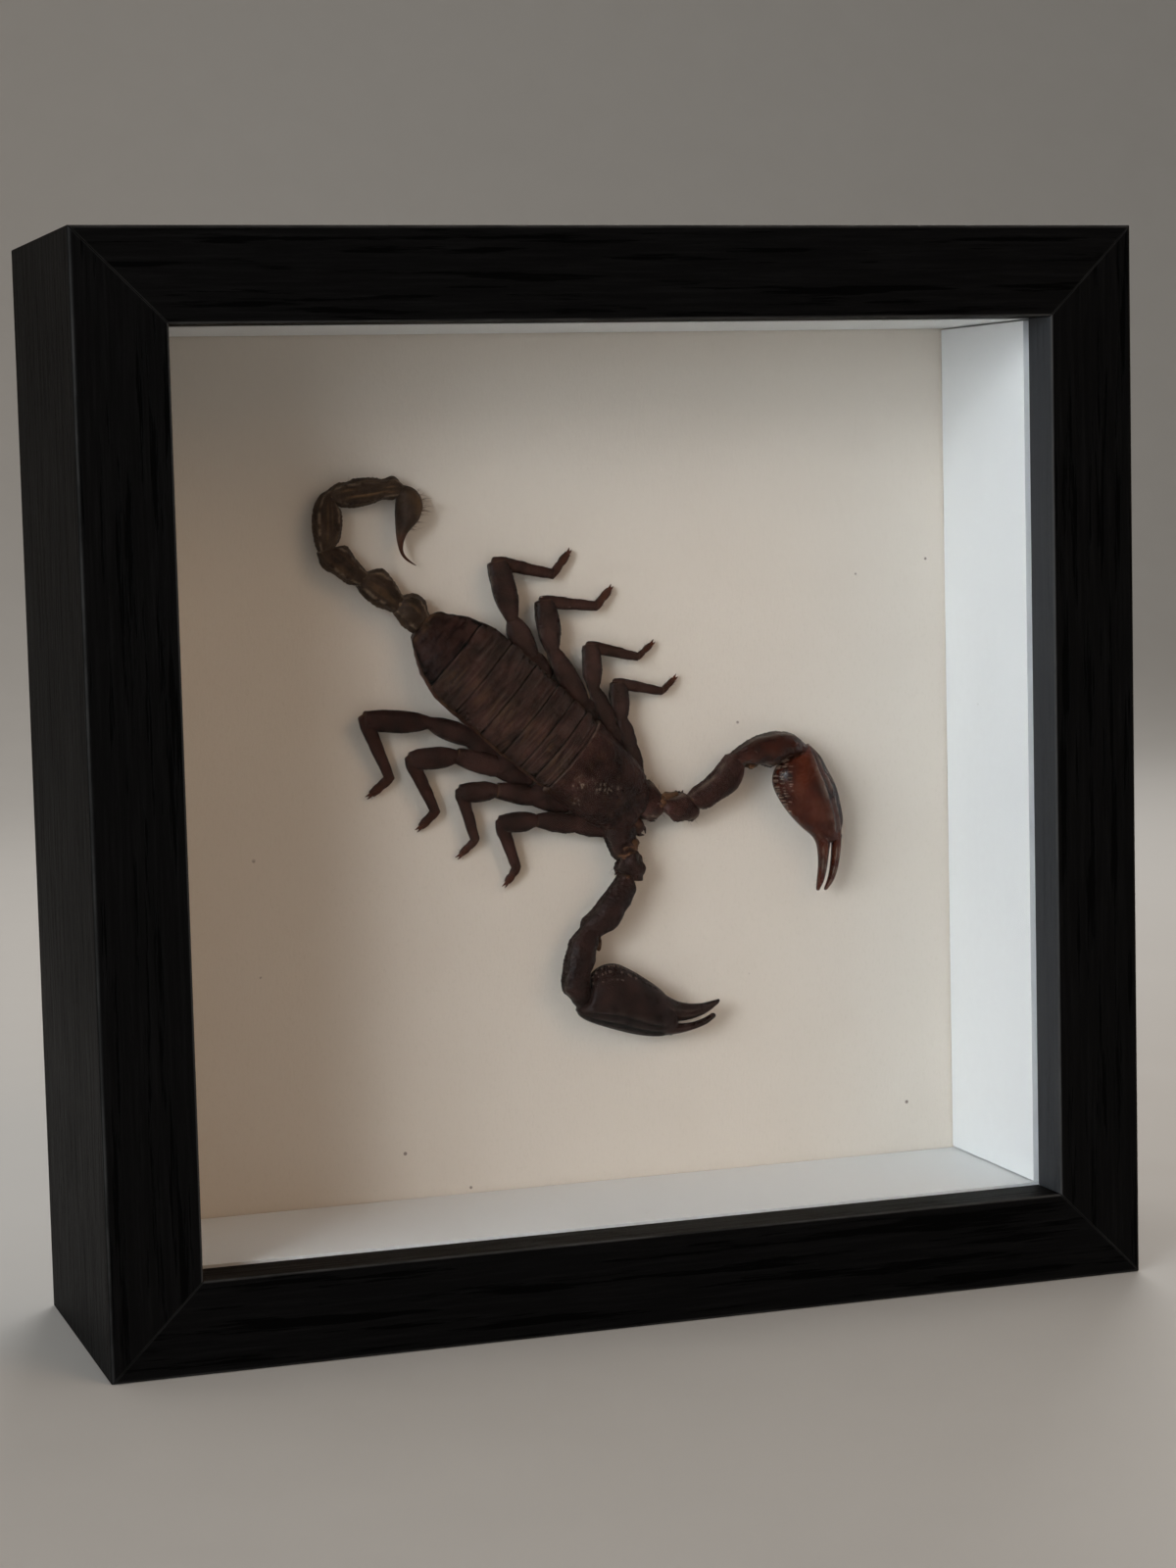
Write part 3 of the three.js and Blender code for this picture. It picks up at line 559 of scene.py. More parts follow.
def bristles(shell, limb, count, length, share, turn=(0, 360), thick=0.035, lean=0.5, **tints):
    """Stiff hairs or spurs standing on a limb, as tapered three-sided tubes."""
    low, high = np.searchsorted(limb.share[:, 0], share)
    for _ in range(count):
        i = int(rng.integers(low, max(high, low + 1)))
        j = int(rng.uniform(*turn) / 360 * len(limb.turn)) % len(limb.turn)
        i = min(i, len(limb.rings) - 2)
        forward = limb.centre[i + 1] - limb.centre[i]
        forward = forward / max(np.linalg.norm(forward), 1e-6)
        aim = limb.outward[i, j] + forward * lean + rng.normal(0, 0.22, 3)
        root = limb.rings[i, j] - limb.outward[i, j] * (0.1 + 0.5 * thick)
        hair(shell, root, aim, length * rng.uniform(0.55, 1.2), thick, **(tints or {"red": 0.5}))


HAIR_STEPS = 5
HAIR_SIDES = 3
ASLANT = (0.3, 0.5, 0.81)  # a line that no hair follows
BLOB_RINGS = 14
BLOB_SIDES = 20


def hair(shell, root, aim, length, thick, **tints):
    aim = unit(aim)
    side = unit(np.cross(aim, ASLANT))
    other = np.cross(aim, side)
    bend = rng.normal(0, 0.12, 3) * length
    t = np.linspace(0, 1, HAIR_STEPS)[:, None]
    middle = root + aim * length * t + bend * t**2
    middle[:, 2] = np.maximum(middle[:, 2], 0.1)
    turn = full_turn(HAIR_SIDES)
    ring = side * np.cos(turn)[:, None] + other * np.sin(turn)[:, None]
    rings = middle[:, None] + ring[None] * (thick * (1.05 - t))[:, None]
    shell.tube(rings, **tints)


def blob(shell, middle, size, roughness, seed, **tints):
    """A small lump, such as dried skin in a joint."""
    v = np.linspace(0.06, 0.94, BLOB_RINGS)[:, None] * math.pi
    u = full_turn(BLOB_SIDES)[None]
    ball = np.stack([np.sin(v) * np.cos(u), np.sin(v) * np.sin(u), np.cos(v) + 0 * u], axis=-1)
    lumps = 1 + roughness * noise(ball * np.array(size) + np.array(middle), max(size) * 0.45, seed)
    shell.tube(np.array(middle) + ball * np.array(size) * lumps[..., None], **tints)


# Body, measured from the tail end forward; plates overlap backwards
BODY_START = np.array([-27.5, 28.1])
BODY_ANGLE = math.radians(-42.2)
BODY_FORWARD = np.array([math.cos(BODY_ANGLE), math.sin(BODY_ANGLE)])
BODY_LEFT = np.array([-math.sin(BODY_ANGLE), math.cos(BODY_ANGLE)])
BODY_WIDEST_AT = 3.8
BODY_UNDERSIDE = 0.6
BODY_OUTLINE = [  # distance forward, half width, height of the back
    [0, 3.2, 5.4], [3.4, 5.9, 6.8], [6, 7.5, 7.7], [8.5, 8.4, 8.2], [11, 9.1, 8.6], [14, 9.3, 8.9],
    [28, 9.2, 9.2], [36, 8.8, 9], [40, 8.4, 8.8], [48, 7.8, 8.4], [52, 7.2, 7.8], [55, 6.2, 7],
    [57, 5.3, 6.2], [58.2, 4.2, 5.2],
]
BODY_FULLNESS = {"across": 0.85, "back": 0.9, "underside": 0.7}
PLATE_EDGES = [0, 8.5, 15.5, 22, 27.8, 32.2, 35.8, 39.3]
PLATE_STEP = 0.28
PLATE_SKIN = 0.35
PLATE_OVERLAP = 0.9
PLATE_BEHIND = 0.35
PLATE_BOW = 0.5
PLATE_LIP = 0.3
PLATE_SEAM = 0.55
BANDS_ALONG = 0.22  # scale of the cross streaks along themselves
PLATE_TURN = 66  # degrees that a plate reaches to each side of the middle of the back
SHIELD_TURN = 88
PLATE_POINTS = 110
FLANK_POINTS = 72
FLANK_START = 0.3
FLANK_DEPTH = 0.35
PLATE_LINES = (0.3, 0.47, 0.62, 0.8)  # fine cross ridges, as shares of a plate's length
BODY_GRID = 0.22
SHIELD_END = 58.2
EYES_AT = 50.3


def on_board(s, w):
    """The point on the board that lies s forward on the body and w to its left."""
    return BODY_START + s * BODY_FORWARD + w * BODY_LEFT


def body_size(s):
    table = np.array(BODY_OUTLINE)
    return np.interp(s, table[:, 0], table[:, 1]), np.interp(s, table[:, 0], table[:, 2])


def body_points(s, turn, lift):
    """Points on the body: s forward, turn round it in degrees from its left side, lift off its surface."""
    half, back = body_size(s)
    a = np.radians(turn)
    cos, sin = np.cos(a), np.sin(a)
    across = np.sign(cos) * np.abs(cos) ** BODY_FULLNESS["across"]
    above = np.abs(sin) ** BODY_FULLNESS["back"] * (back - BODY_WIDEST_AT + lift)
    below = np.abs(sin) ** BODY_FULLNESS["underside"] * (BODY_WIDEST_AT - BODY_UNDERSIDE)
    w = across * (half + lift)
    z = BODY_WIDEST_AT + np.where(sin >= 0, above, -below)
    flat = on_board(s[..., None], w[..., None])
    return np.concatenate([flat, z[..., None]], axis=-1), w


def build_flanks(shell):
    """Soft sides and belly under the plates, finely folded."""
    s = np.arange(FLANK_START, SHIELD_END - 0.6, BODY_GRID)[:, None]
    turn = np.linspace(0, 360, FLANK_POINTS, endpoint=False)[None]
    s, turn = np.broadcast_arrays(s, turn)
    points, _ = body_points(s, turn, -FLANK_DEPTH)
    folds = 0.14 * noise(points, 0.9, 2) * bell(np.abs(np.sin(np.radians(turn))), 0, 0.5)
    points, _ = body_points(s, turn, folds - FLANK_DEPTH)
    shell.tube(points, tan=0.12 + 0.2 * noise(points, 1.3), red=0.1)


def build_plate(shell, rear, front, last):
    """A back plate with fine cross ridges and streaks. The last one before the tail is coarse and dark."""
    length = front - rear + PLATE_OVERLAP
    u = np.linspace(0, 1, math.ceil(length / BODY_GRID))[:, None]
    arc = np.linspace(90 - PLATE_TURN, 90 + PLATE_TURN, PLATE_POINTS)[None]
    u, turn = np.broadcast_arrays(u, arc)
    side = np.abs(turn - 90) / PLATE_TURN
    bow = PLATE_BOW * side**3
    behind = u * length
    s = rear - PLATE_BEHIND + bow + behind
    step = PLATE_STEP * (1 - u) - PLATE_LIP * (1 - ease(behind, 0, PLATE_LIP))
    base, w = body_points(s, turn, step)
    # Relief
    lines = sum(
        bell(u, at + 0.025 * noise(base, 4, 8 + k), 0.013) * patches(base, 5, 20 + k, -0.5, 0.2)
        for k, at in enumerate(PLATE_LINES)
    )
    bands = np.stack([s, w * BANDS_ALONG, 0 * s], axis=-1)
    stripes = noise(bands, 0.55, 18)
    if last:
        ridge = 0.06 * bell(np.abs(w), 3, 0.8) * ease(s, 1, 3) + 0.35 * bell(s, 1.1, 0.8)
        grain = 0.2 * granules(base, 0.8) * patches(base, 3, 5, -0.7, 0.3) + 0.2 * noise(base, 2.2, 6)
    else:
        ridge = 0.14 * bell(w, 0, 0.5) * ease(u, 0, 0.2) + 0.14 * lines
        grain = 0.13 * granules(base, 0.55) * patches(base, 4, 5, -0.6, 0.5) + 0.16 * noise(base, 3.2, 6)
        grain = grain + 0.07 * noise(base, 0.9, 16) + 0.1 * stripes
    outer, w = body_points(s, turn, step + grain + ridge)
    inner, _ = body_points(s, turn, step - PLATE_SKIN)
    # Colour, with painted shade along the seams
    edge = (1 - ease(behind, 0.05, 0.2)) * 0.32 * patches(base, 2, 3, -0.5, 0.5)
    rim = 0.25 * ease(side, 0.9, 0.97) * patches(base, 2, 4, -0.6, 0.4)
    # Painted shade: a dark line on the seam under the plate ahead, and darker towards the plate's sides, over
    # the plate's own dark streaks
    dark_and_seam_shade = 0.7 * bell(s, front - PLATE_SEAM + bow, 0.18) + 0.4 * ease(side, 0.7, 1)
    dark_and_seam_shade = dark_and_seam_shade + 0.12 + 0.3 * (1 - ease(stripes, -0.6, 0))
    if last:
        golden = 0.4 * (1 - ease(s, 0.5, 1.0)) * patches(base, 1.6, 15, -0.5, 0.4)
        sheen_and_pale_lines = 0.0
        warm = 0.1
        dark_and_seam_shade = dark_and_seam_shade + 0.3 + 0.25 * patches(base, 1.6, 19, -0.2, 0.6)
    else:
        golden = 0.13 * bell(w, -3.4, 3.6) * patches(bands, 0.5, 9, -0.2, 0.6)
        # Painted sheen: greyer over one half of the back, with paler fine ridges and streaks
        sheen_and_pale_lines = 0.02 + 0.05 * ease(w, -3, 5) * patches(bands, 0.7, 12, -0.6, 0.6) + 0.14 * lines
        sheen_and_pale_lines = sheen_and_pale_lines + 0.05 * ease(stripes, 0.2, 0.7)
        warm = 0.0
    shell.slab(outer, inner, tan=golden + rim, rubbed=edge + sheen_and_pale_lines, red=warm, black=dark_and_seam_shade)


def build_body():
    shell = Shell()
    build_flanks(shell)
    for rear, front in zip(PLATE_EDGES, PLATE_EDGES[1:]):
        build_plate(shell, rear, front, last=rear == 0)
    build_shield(shell)
    build_jaws(shell)
    shell.make("specimen_body", [cuticle_dark], "cuticle_dark", "scorpion_body")


def build_shield(shell):
    """Head shield: grainy, with a lengthwise furrow, a notched front edge and the eyes."""
    rear = PLATE_EDGES[-1] - PLATE_BEHIND
    arc = np.linspace(90 - SHIELD_TURN, 90 + SHIELD_TURN, PLATE_POINTS)[None]
    u = np.linspace(0, 1, math.ceil((SHIELD_END - rear) / BODY_GRID))[:, None]
    u, turn = np.broadcast_arrays(u, arc)
    notch = 1.1 * bell(turn, 90, 12)
    s = rear + u * (SHIELD_END + 0.4 - notch - rear)
    step = PLATE_STEP * (1 - 0.6 * u) - 0.3 * (1 - ease(u * 18, 0, 0.35)) - 0.5 * ease(u, 0.96, 1)
    base, w = body_points(s, turn, step)
    furrow = -0.45 * bell(w, 0, 0.5) * ease(s, 41, 43)
    mound = 0.75 * bell(w, 0, 1.5) * bell(s, EYES_AT, 2.0)
    off_middle = np.abs(w)
    hollows = -0.5 * bell(off_middle, 3.6, 1.0) * bell(s, 43.2, 2.2)
    hollows = hollows - 0.35 * bell(off_middle, 2.4, 0.8) * bell(s, 54.5, 2)
    coarse = ease(off_middle, 0.8, 4) * 0.6 + ease(s, 47, 55) * 0.5
    grain = 0.34 * granules(base, 0.85) * coarse + 0.1 * granules(base, 0.5, 5)
    grain = grain + 0.3 * noise(base, 2.2, 11) * coarse
    outer, w = body_points(s, turn, step + furrow + mound + hollows + grain)
    inner, _ = body_points(s, turn, step - PLATE_SKIN - 0.3)
    edge = (1 - ease(u * (SHIELD_END - rear), 0.1, 0.5)) * 0.7
    chalky = bell(w - 0.55 * (s - 49.2), 0, 1.2) * ease(s, 41, 42) * (1 - ease(s, 49, 51))
    chalky = chalky + bell(s, 45, 1.2) * bell(w, -6.8, 0.8)
    grains = ease(granules(base, 0.65, 14), 0.42, 0.72)
    flecks = 1.8 * grains * chalky * patches(base, 1.1, 13, -0.5, 0.25)
    amber = 0.06 * patches(base, 1.4, 17, 0, 0.8)
    shell.slab(outer, inner, tan=amber, rubbed=0.4 * edge + flecks, black=0.04 + 0.36 * ease(s, 41, 47))
    # Two eyes on the mound and three small ones at each front corner
    eyes = [(EYES_AT + 0.2, 0.8, 0.3, 0.75)]
    eyes += [(SHIELD_END - 2.6 - 0.75 * k, 4.7 + 0.32 * k, 0.2, 0.1) for k in range(3)]
    for s_eye, w_eye, radius, lift in eyes:
        half, back = body_size(s_eye)
        turn = math.acos((w_eye / half) ** (1 / BODY_FULLNESS["across"]))
        height = BODY_WIDEST_AT + (back - BODY_WIDEST_AT) * math.sin(turn) ** BODY_FULLNESS["back"]
        for side in (-1, 1):
            flat = on_board(s_eye, side * w_eye)
            blob(shell, (*flat, height + lift), (radius, radius, radius * 0.8), 0.0, 1, black=0.75)


JAW = {"start": 55.0, "reach": 6.6, "spread": 1.75, "half": 1.6, "height": 3.7}
JAW_SIDES = 28
JAW_STEP = 0.2
TOOTH_SIDES = 14
TOOTH_STEP = 0.15
JAW_TEETH = ((0.75, 0.55), (-0.65, 0.45))  # distance from the jaw's middle, half thickness


def jaw_row(s, w, wide, thick, level):
    middle = on_board(s, w)
    return [*(middle + wide * BODY_LEFT), *(middle - wide * BODY_LEFT), thick, level]


def build_jaws(shell):
    """Two short pincers in front of the head, each with a fixed and a moving tooth."""
    begin, reach, spread, half, height = JAW.values()
    for side in (-1, 1):
        knuckle = Limb([
            jaw_row(begin, side * spread, 1.1, 1.2, height),
            jaw_row(begin + 0.3 * reach, side * (spread + 0.1), half, 1.7, height),
            jaw_row(begin + 0.6 * reach, side * spread, half * 0.95, 1.6, height),
            jaw_row(begin + 0.78 * reach, side * spread, 1.1, 1.1, height - 0.2),
        ], JAW_SIDES, JAW_STEP)
        knuckle.swell(0.1 * noise(knuckle.rings, 0.9, 21))
        shell.tube(knuckle.rings, tan=0.12 * knuckle.patches(1.4, 22, -0.2, 0.6), red=0.1, black=0.2)
        for offset, thick in JAW_TEETH:
            thin = thick * 0.8
            tooth = Limb([
                jaw_row(begin + 0.62 * reach, side * (spread + offset), thick, thick, height),
                jaw_row(begin + 0.85 * reach, side * (spread + offset * 1.1), thin, thin, height - 0.3),
                jaw_row(begin + reach, side * (spread + offset * 0.35), 0.12, 0.14, height - 0.9),
            ], TOOTH_SIDES, TOOTH_STEP, 0.1)
            shell.tube(tooth.rings, black=0.3 + 0.4 * ease(tooth.share, 0.4, 1))
        bristles(shell, knuckle, count=40, length=1.1, share=(0.5, 1), lean=0.9)


# Tail, from the body to the sting. Each row is one cross line: its two ends and half its thickness
TAIL_HEIGHT = 3.3
TAIL_SEGMENTS = [
    [[-25.8, 30, -29, 26.8, 1.9], [-26.8, 32.6, -30.9, 27.9, 2.5], [-28.6, 34.1, -31.8, 29, 2.6],
     [-30.6, 33.9, -32.7, 30.2, 2]],
    [[-30.6, 33.4, -32.5, 30.4, 1.8], [-32.1, 35.8, -34.4, 31.4, 2.3], [-33.8, 38.1, -37, 32.8, 2.5],
     [-35, 39, -38.9, 34.4, 2.4], [-37.4, 38.7, -39.8, 35.7, 1.9]],
    [[-37.5, 38.3, -39.6, 36, 1.7], [-39.6, 40.6, -42, 36.9, 2.2], [-41, 42.5, -44.2, 38.4, 2.4],
     [-42.2, 43.6, -46.3, 40, 2.4], [-44.2, 43.4, -47.3, 42.3, 1.9]],
    [[-44, 43, -47, 42.4, 1.7], [-43.1, 44.8, -47.7, 44.4, 2.3], [-42.4, 47.5, -47.9, 47.4, 2.5],
     [-42.5, 50, -47.7, 50.6, 2.4], [-43.3, 51.4, -46.6, 52.8, 2], [-44, 52, -45.2, 54, 1.6]],
    [[-44.3, 51.9, -45.2, 54, 1.5], [-42.6, 51.1, -43, 55.2, 2], [-39.5, 50.9, -39.6, 55.9, 2.2],
     [-37, 51.3, -36.6, 56.1, 2.2], [-34.4, 52.1, -34, 56, 2], [-32.2, 52.3, -32, 56.3, 1.9],
     [-31.1, 52.6, -30.5, 55.1, 1.5]],
]
STING = [
    [-31.5, 52.4, -30.9, 55, 1.4], [-31.6, 51.5, -28.3, 54.2, 2.1], [-31.8, 50.2, -26.9, 52.6, 2.5],
    [-31.8, 48.6, -26.5, 50.6, 2.5], [-31.8, 46.9, -27.3, 48.2, 2.2], [-31.8, 45.4, -29.3, 46, 1.4],
    [-31.6, 43.8, -30.3, 44.2, 0.8], [-31.1, 42, -30.5, 42.4, 0.4], [-30.4, 40.9, -30, 41.3, 0.3],
    [-29.4, 40.1, -29.2, 40.5, 0.22], [-28.4, 39.55, -28.3, 39.75, 0.12],
]
TAIL_KEELS = {4: 0.2, 48: 0.34, 132: 0.34, 176: 0.2, 232: 0.34, 308: 0.34}  # heights by degrees
TAIL_SIDES = 64
STING_SIDES = 56
FINE_STEP = 0.16


def at_height(rows, height):
    return [[*row, height] for row in rows]


def build_tail():
    shell = Shell()
    for number, rows in enumerate(TAIL_SEGMENTS):
        limb = Limb(at_height(rows, TAIL_HEIGHT), TAIL_SIDES, FINE_STEP, 0.5)
        ridges = 0
        for degrees, height in TAIL_KEELS.items():
            limb.keel(degrees, 9, height, 0.85)
            ridges = ridges + bell(limb.angle_from(degrees), 0, 5)
        limb.swell(0.12 * granules(limb.rings, 0.7, 31) + 0.22 * noise(limb.rings, 1.8, 32))
        limb.swell(-0.22 * limb.facing(22))
        share, turn = np.broadcast_arrays(limb.share, limb.turn * 2.6)
        streaks = patches(np.stack([share, turn, 0 * share], axis=-1), 0.5, 33 + number, 0, 0.6)
        middle = ease(limb.share, 0.1, 0.3) * (1 - ease(limb.share, 0.75, 0.95))
        bright = 0.5 if number == 4 else 0.16
        tan = bright * streaks * middle * limb.facing(55) + 0.2 * limb.ends(0.4)
        worn = limb.patches(1.1, 40 + number, -0.3, 0.5)
        tan = tan + 0.3 * ridges * worn
        rims = limb.ends(0.45) * limb.patches(0.9, 45 + number, -0.5, 0.3)
        shell.tube(limb.rings, tan=tan, rubbed=0.6 * ridges * worn + 0.85 * rims)
    for first, second in zip(TAIL_SEGMENTS, TAIL_SEGMENTS[1:] + [STING]):
        joint = np.array(first[-1]) * 0.5 + np.array(second[0]) * 0.5
        middle = (joint[:2] + joint[2:4]) / 2
        radius = np.linalg.norm(joint[:2] - joint[2:4]) / 2 * 0.9
        blob(shell, (*middle, TAIL_HEIGHT), (radius, radius, joint[4] * 0.85), 0.2, 41, tan=0.3, rubbed=0.15)
    root = np.array(TAIL_SEGMENTS[0][0])
    blob(shell, (*(root[:2] + root[2:4]) / 2, TAIL_HEIGHT), (2.2, 2.2, 1.9), 0.2, 42, tan=0.3, rubbed=0.1)
    sting = Limb(at_height(STING, TAIL_HEIGHT), STING_SIDES, FINE_STEP, 0.4)
    bumps = 0.12 * noise(sting.rings, 1.2, 51) + 0.06 * granules(sting.rings, 0.6, 52)
    sting.swell(bumps * (1 - sting.share))
    bulge = bell(sting.share, 0.28, 0.2) * bell(sting.angle_from(165), 0, 60)
    point = ease(sting.share, 0.5, 0.7)
    amber = 0.35 * bulge * sting.patches(1.4, 53, -0.5, 0.4)
    shell.tube(sting.rings, tan=amber, red=0.6 * point, black=0.35 * point)
    bristles(shell, sting, count=60, length=2.4, share=(0.12, 0.55), turn=(120, 240), lean=0.35)
    bristles(shell, sting, count=30, length=1.2, share=(0.12, 0.5), turn=(20, 160), thick=0.03, lean=0.4)
    last = Limb(at_height(TAIL_SEGMENTS[4], TAIL_HEIGHT), 24, 0.4)
    bristles(shell, last, count=24, length=1.0, share=(0.3, 0.95), turn=(150, 210), thick=0.03, lean=0.3)
    shell.make("specimen_tail", [cuticle_tail], "cuticle_tail", "scorpion_tail")


# Legs: points of the joints on the board, and widths of thigh, waist, shank, shin and foot
LEG_HEIGHTS = {"root": 3.2, "coxa": 2.4, "hip": 3.2, "waist": 3.2, "knee": 3.1, "ankle": 2.0, "tip": 1.3}
LEG_FLATNESS = 0.72
LEG_JOINTS = ("root", "hip", "waist", "knee", "ankle", "tip")
LEGS = {
    "leg_left_1": (
        ((11.4, -0.6), (14.2, 2.8), (12.6, 8.4), (11.8, 15.3), (21.5, 13.3), (24.1, 15.4)),
        (2.9, 2.0, 3.6, 2.1, 1.2)),
    "leg_left_2": (
        ((7.2, 3.2), (10.2, 6.8), (6.9, 14.5), (6.5, 22.7), (16.6, 20.2), (19.5, 22.4)),
        (3.3, 2.2, 3.7, 2.2, 1.2)),
    "leg_left_3": (
        ((1.6, 8), (4.3, 11.6), (-1.3, 22.4), (-2.7, 31.7), (8.3, 30.4), (11.2, 33.4)),
        (4.2, 2.5, 4.4, 2.4, 1.5)),
    "leg_left_4": (
        ((-5.6, 17), (-6, 20.8), (-9.3, 28.8), (-12, 39.5), (-0.4, 36.9), (2.9, 40.7)),
        (4.6, 2, 4.5, 2.5, 1.5)),
    "leg_right_1": (
        ((7.4, -8.2), (2.6, -11.7), (-5.2, -10.5), (-12.6, -10.7), (-9.3, -19.7), (-11, -22.4)),
        (3.9, 2.7, 3.7, 2.4, 1.5)),
    "leg_right_2": (
        ((0.4, -2.4), (-5.9, -5.9), (-13.1, -4.3), (-20.4, -4.3), (-17.5, -13.8), (-20.1, -16.4)),
        (3.9, 3.2, 3.8, 2.3, 1.4)),
    "leg_right_3": (
        ((-7, 3.4), (-12.9, 0.1), (-21, 2.8), (-30.2, 2.4), (-25.3, -7.8), (-28, -10.6)),
        (4.2, 3.1, 4.2, 2.5, 1.7)),
    "leg_right_4": (
        ((-13.4, 8.8), (-18.4, 6.1), (-26.4, 9.4), (-39, 10.5), (-34.2, -0.9), (-37.6, -3.8)),
        (4, 2.4, 4.2, 2.6, 1.7)),
}
COXA_REACH = {"left": 5.5, "right": 7}
COXA_UNDER_BODY = 0.4
# Share of the segment's length, share of its width
COXA_PROFILE = ((-0.1, 0.75), (0.15, 0.95), (0.5, 0.95), (1, 0.6))
HIP_PROFILE = ((0, 0.8), (0.5, 0.9), (0.95, 0.95), (1.12, 0.8))
THIGH_PROFILE = ((-0.05, 0.72), (0.08, 0.9), (0.35, 1), (0.7, 0.92))
SHANK_PROFILE = ((-0.04, 0.5), (0.1, 0.72), (0.3, 0.94), (0.5, 1), (0.8, 0.96), (1, 0.8))
SHIN_PROFILE = ((-0.06, 0.8), (0.1, 1.1), (0.35, 1), (1, 0.75))
HEEL_PROFILE = ((-0.12, 0.85), (0.2, 1.05), (0.48, 0.95))
TOE_PROFILE = ((0.44, 0.8), (0.7, 1), (1, 0.8))
LEG_SIDES = 32
LEG_SQUARENESS = 0.3
LEG_STEP = 0.2
HOOK_SIDES = 10
HOOK_STEP = 0.12
HOOK_PROFILE = ((-0.12, 1.0), (0.35, 0.95), (0.7, 0.6), (1, 0.2))
FOOT_HOOK = {"length": 1.3, "thick": 0.28, "spread": 22, "rise": 0.25, "drop": 0.5}


def segment(leg, start, end, width, profile, closing=None):
    """A leg segment's rows between two joints, with an optional last width where it meets the next one."""
    first, last = np.array(leg[start], float), np.array(leg[end], float)
    line = unit(last - first)
    normal = np.array([-line[1], line[0]])
    rows = []
    shares = [*profile] + ([(1, closing / width)] if closing else [])
    for share, part in shares:
        middle = first + (last - first) * share
        half = normal * width * part / 2
        height = LEG_HEIGHTS[start] + (LEG_HEIGHTS[end] - LEG_HEIGHTS[start]) * np.clip(share, 0, 1)
        rows.append([*(middle + half), *(middle - half), width * part * LEG_FLATNESS / 2, height])
    return rows


def coxa_end(hip, reach):
    """Where a leg's first segment ends, forward of the hip and under the edge of the body."""
    from_start = np.array(hip) - BODY_START
    s = from_start @ BODY_FORWARD + reach
    w = from_start @ BODY_LEFT
    inside = body_size(s)[0] - COXA_UNDER_BODY
    return on_board(s, np.clip(w, -inside, inside))


def build_leg(name, points, widths, seed):
    shell = Shell()
    thigh, waist, shank, shin, foot = widths
    on_left = "left" in name
    leg = dict(zip(LEG_JOINTS, points))
    leg["coxa"] = coxa_end(leg["hip"], COXA_REACH["left" if on_left else "right"])
    parts = {
        "coxa": (segment(leg, "hip", "coxa", thigh, COXA_PROFILE), 0.5),
        "hip": (segment(leg, "root", "hip", thigh, HIP_PROFILE), 0.35),
        "thigh": (segment(leg, "hip", "waist", thigh, THIGH_PROFILE, waist * 0.96), 0.25),
        "shank": (segment(leg, "waist", "knee", shank, SHANK_PROFILE), 0.5),
        "shin": (segment(leg, "knee", "ankle", shin, SHIN_PROFILE), 0.3),
        "heel": (segment(leg, "ankle", "tip", foot, HEEL_PROFILE), 0.2),
        "toe": (segment(leg, "ankle", "tip", foot, TOE_PROFILE), 0.3),
    }
    for number, (part, (rows, cap)) in enumerate(parts.items()):
        limb = Limb(rows, LEG_SIDES, LEG_STEP, cap, squareness=LEG_SQUARENESS)
        big = part in ("coxa", "hip", "thigh", "shank")
        height = 0.24 if big else 0.1
        edges = limb.keel(25, 9, height, 0.7) + 0.4 * limb.keel(155, 9, height, 0.7)
        limb.swell(0.10 * noise(limb.rings, 1.3, seed + number) + 0.05 * granules(limb.rings, 0.5, seed))
        if big:
            limb.swell(-0.16 * limb.facing(26) * ease(limb.share, 0.1, 0.3))
        reddish = {"shin": 0.1, "heel": 0.3, "toe": 0.45}.get(part, 0.0)
        soft = 0.4 * limb.ends(0.5) * limb.patches(1.2, seed + 5, -0.4, 0.6)
        # The keels and a line along the left thighs are paler: partly worn, partly painted highlight
        pale = 0.6 * edges * limb.patches(1.5, seed + 9, -0.2, 0.6)
        if on_left and part == "thigh":
            pale = pale + 0.7 * bell(limb.angle_from(16), 0, 9) * limb.patches(2.5, seed + 8, -0.7, 0)
        # Painted sheen: paler on the face towards the viewer, more on the left legs
        painted_top_sheen = (0.06 if on_left else 0.02) * limb.facing(40)
        shaded = 0.2 + 0.4 * (1 - limb.facing(48)) + 0.2 * noise(limb.rings, 1.1, seed + 3)
        shell.tube(limb.rings, tan=soft, rubbed=pale + painted_top_sheen, red=reddish, black=shaded)
        if part == "shin":
            bristles(shell, limb, count=22, length=0.7, share=(0.3, 1), lean=0.8)
        if part in ("heel", "toe"):
            bristles(shell, limb, count=34, length=0.65, share=(0.1, 1), lean=0.9)
    build_hooks(shell, leg)
    shell.make("specimen_" + name, [cuticle_dark], "cuticle_dark", "scorpion_" + name)


def build_hooks(shell, leg):
    """The two curved claws at the end of a foot."""
    tip = np.array(leg["tip"], float)
    line = unit(tip - leg["ankle"])
    for side in (-1, 1):
        rows = []
        for share, part in HOOK_PROFILE:
            turn = math.radians(side * FOOT_HOOK["spread"] * (1.15 - 0.5 * share))
            cos, sin = math.cos(turn), math.sin(turn)
            aim = np.array([line[0] * cos - line[1] * sin, line[0] * sin + line[1] * cos])
            middle = tip + aim * FOOT_HOOK["length"] * share
            half = FOOT_HOOK["thick"] * part
            normal = np.array([-aim[1], aim[0]]) * half
            out = max(share, 0)
            arch = FOOT_HOOK["rise"] * math.sin(math.pi * out) - FOOT_HOOK["drop"] * out
            rows.append([*(middle + normal), *(middle - normal), half, LEG_HEIGHTS["tip"] + arch])
        hook = Limb(rows, HOOK_SIDES, HOOK_STEP, 0.08)
        shell.tube(hook.rings, red=0.7, black=0.4 * ease(hook.share, 0.3, 1))


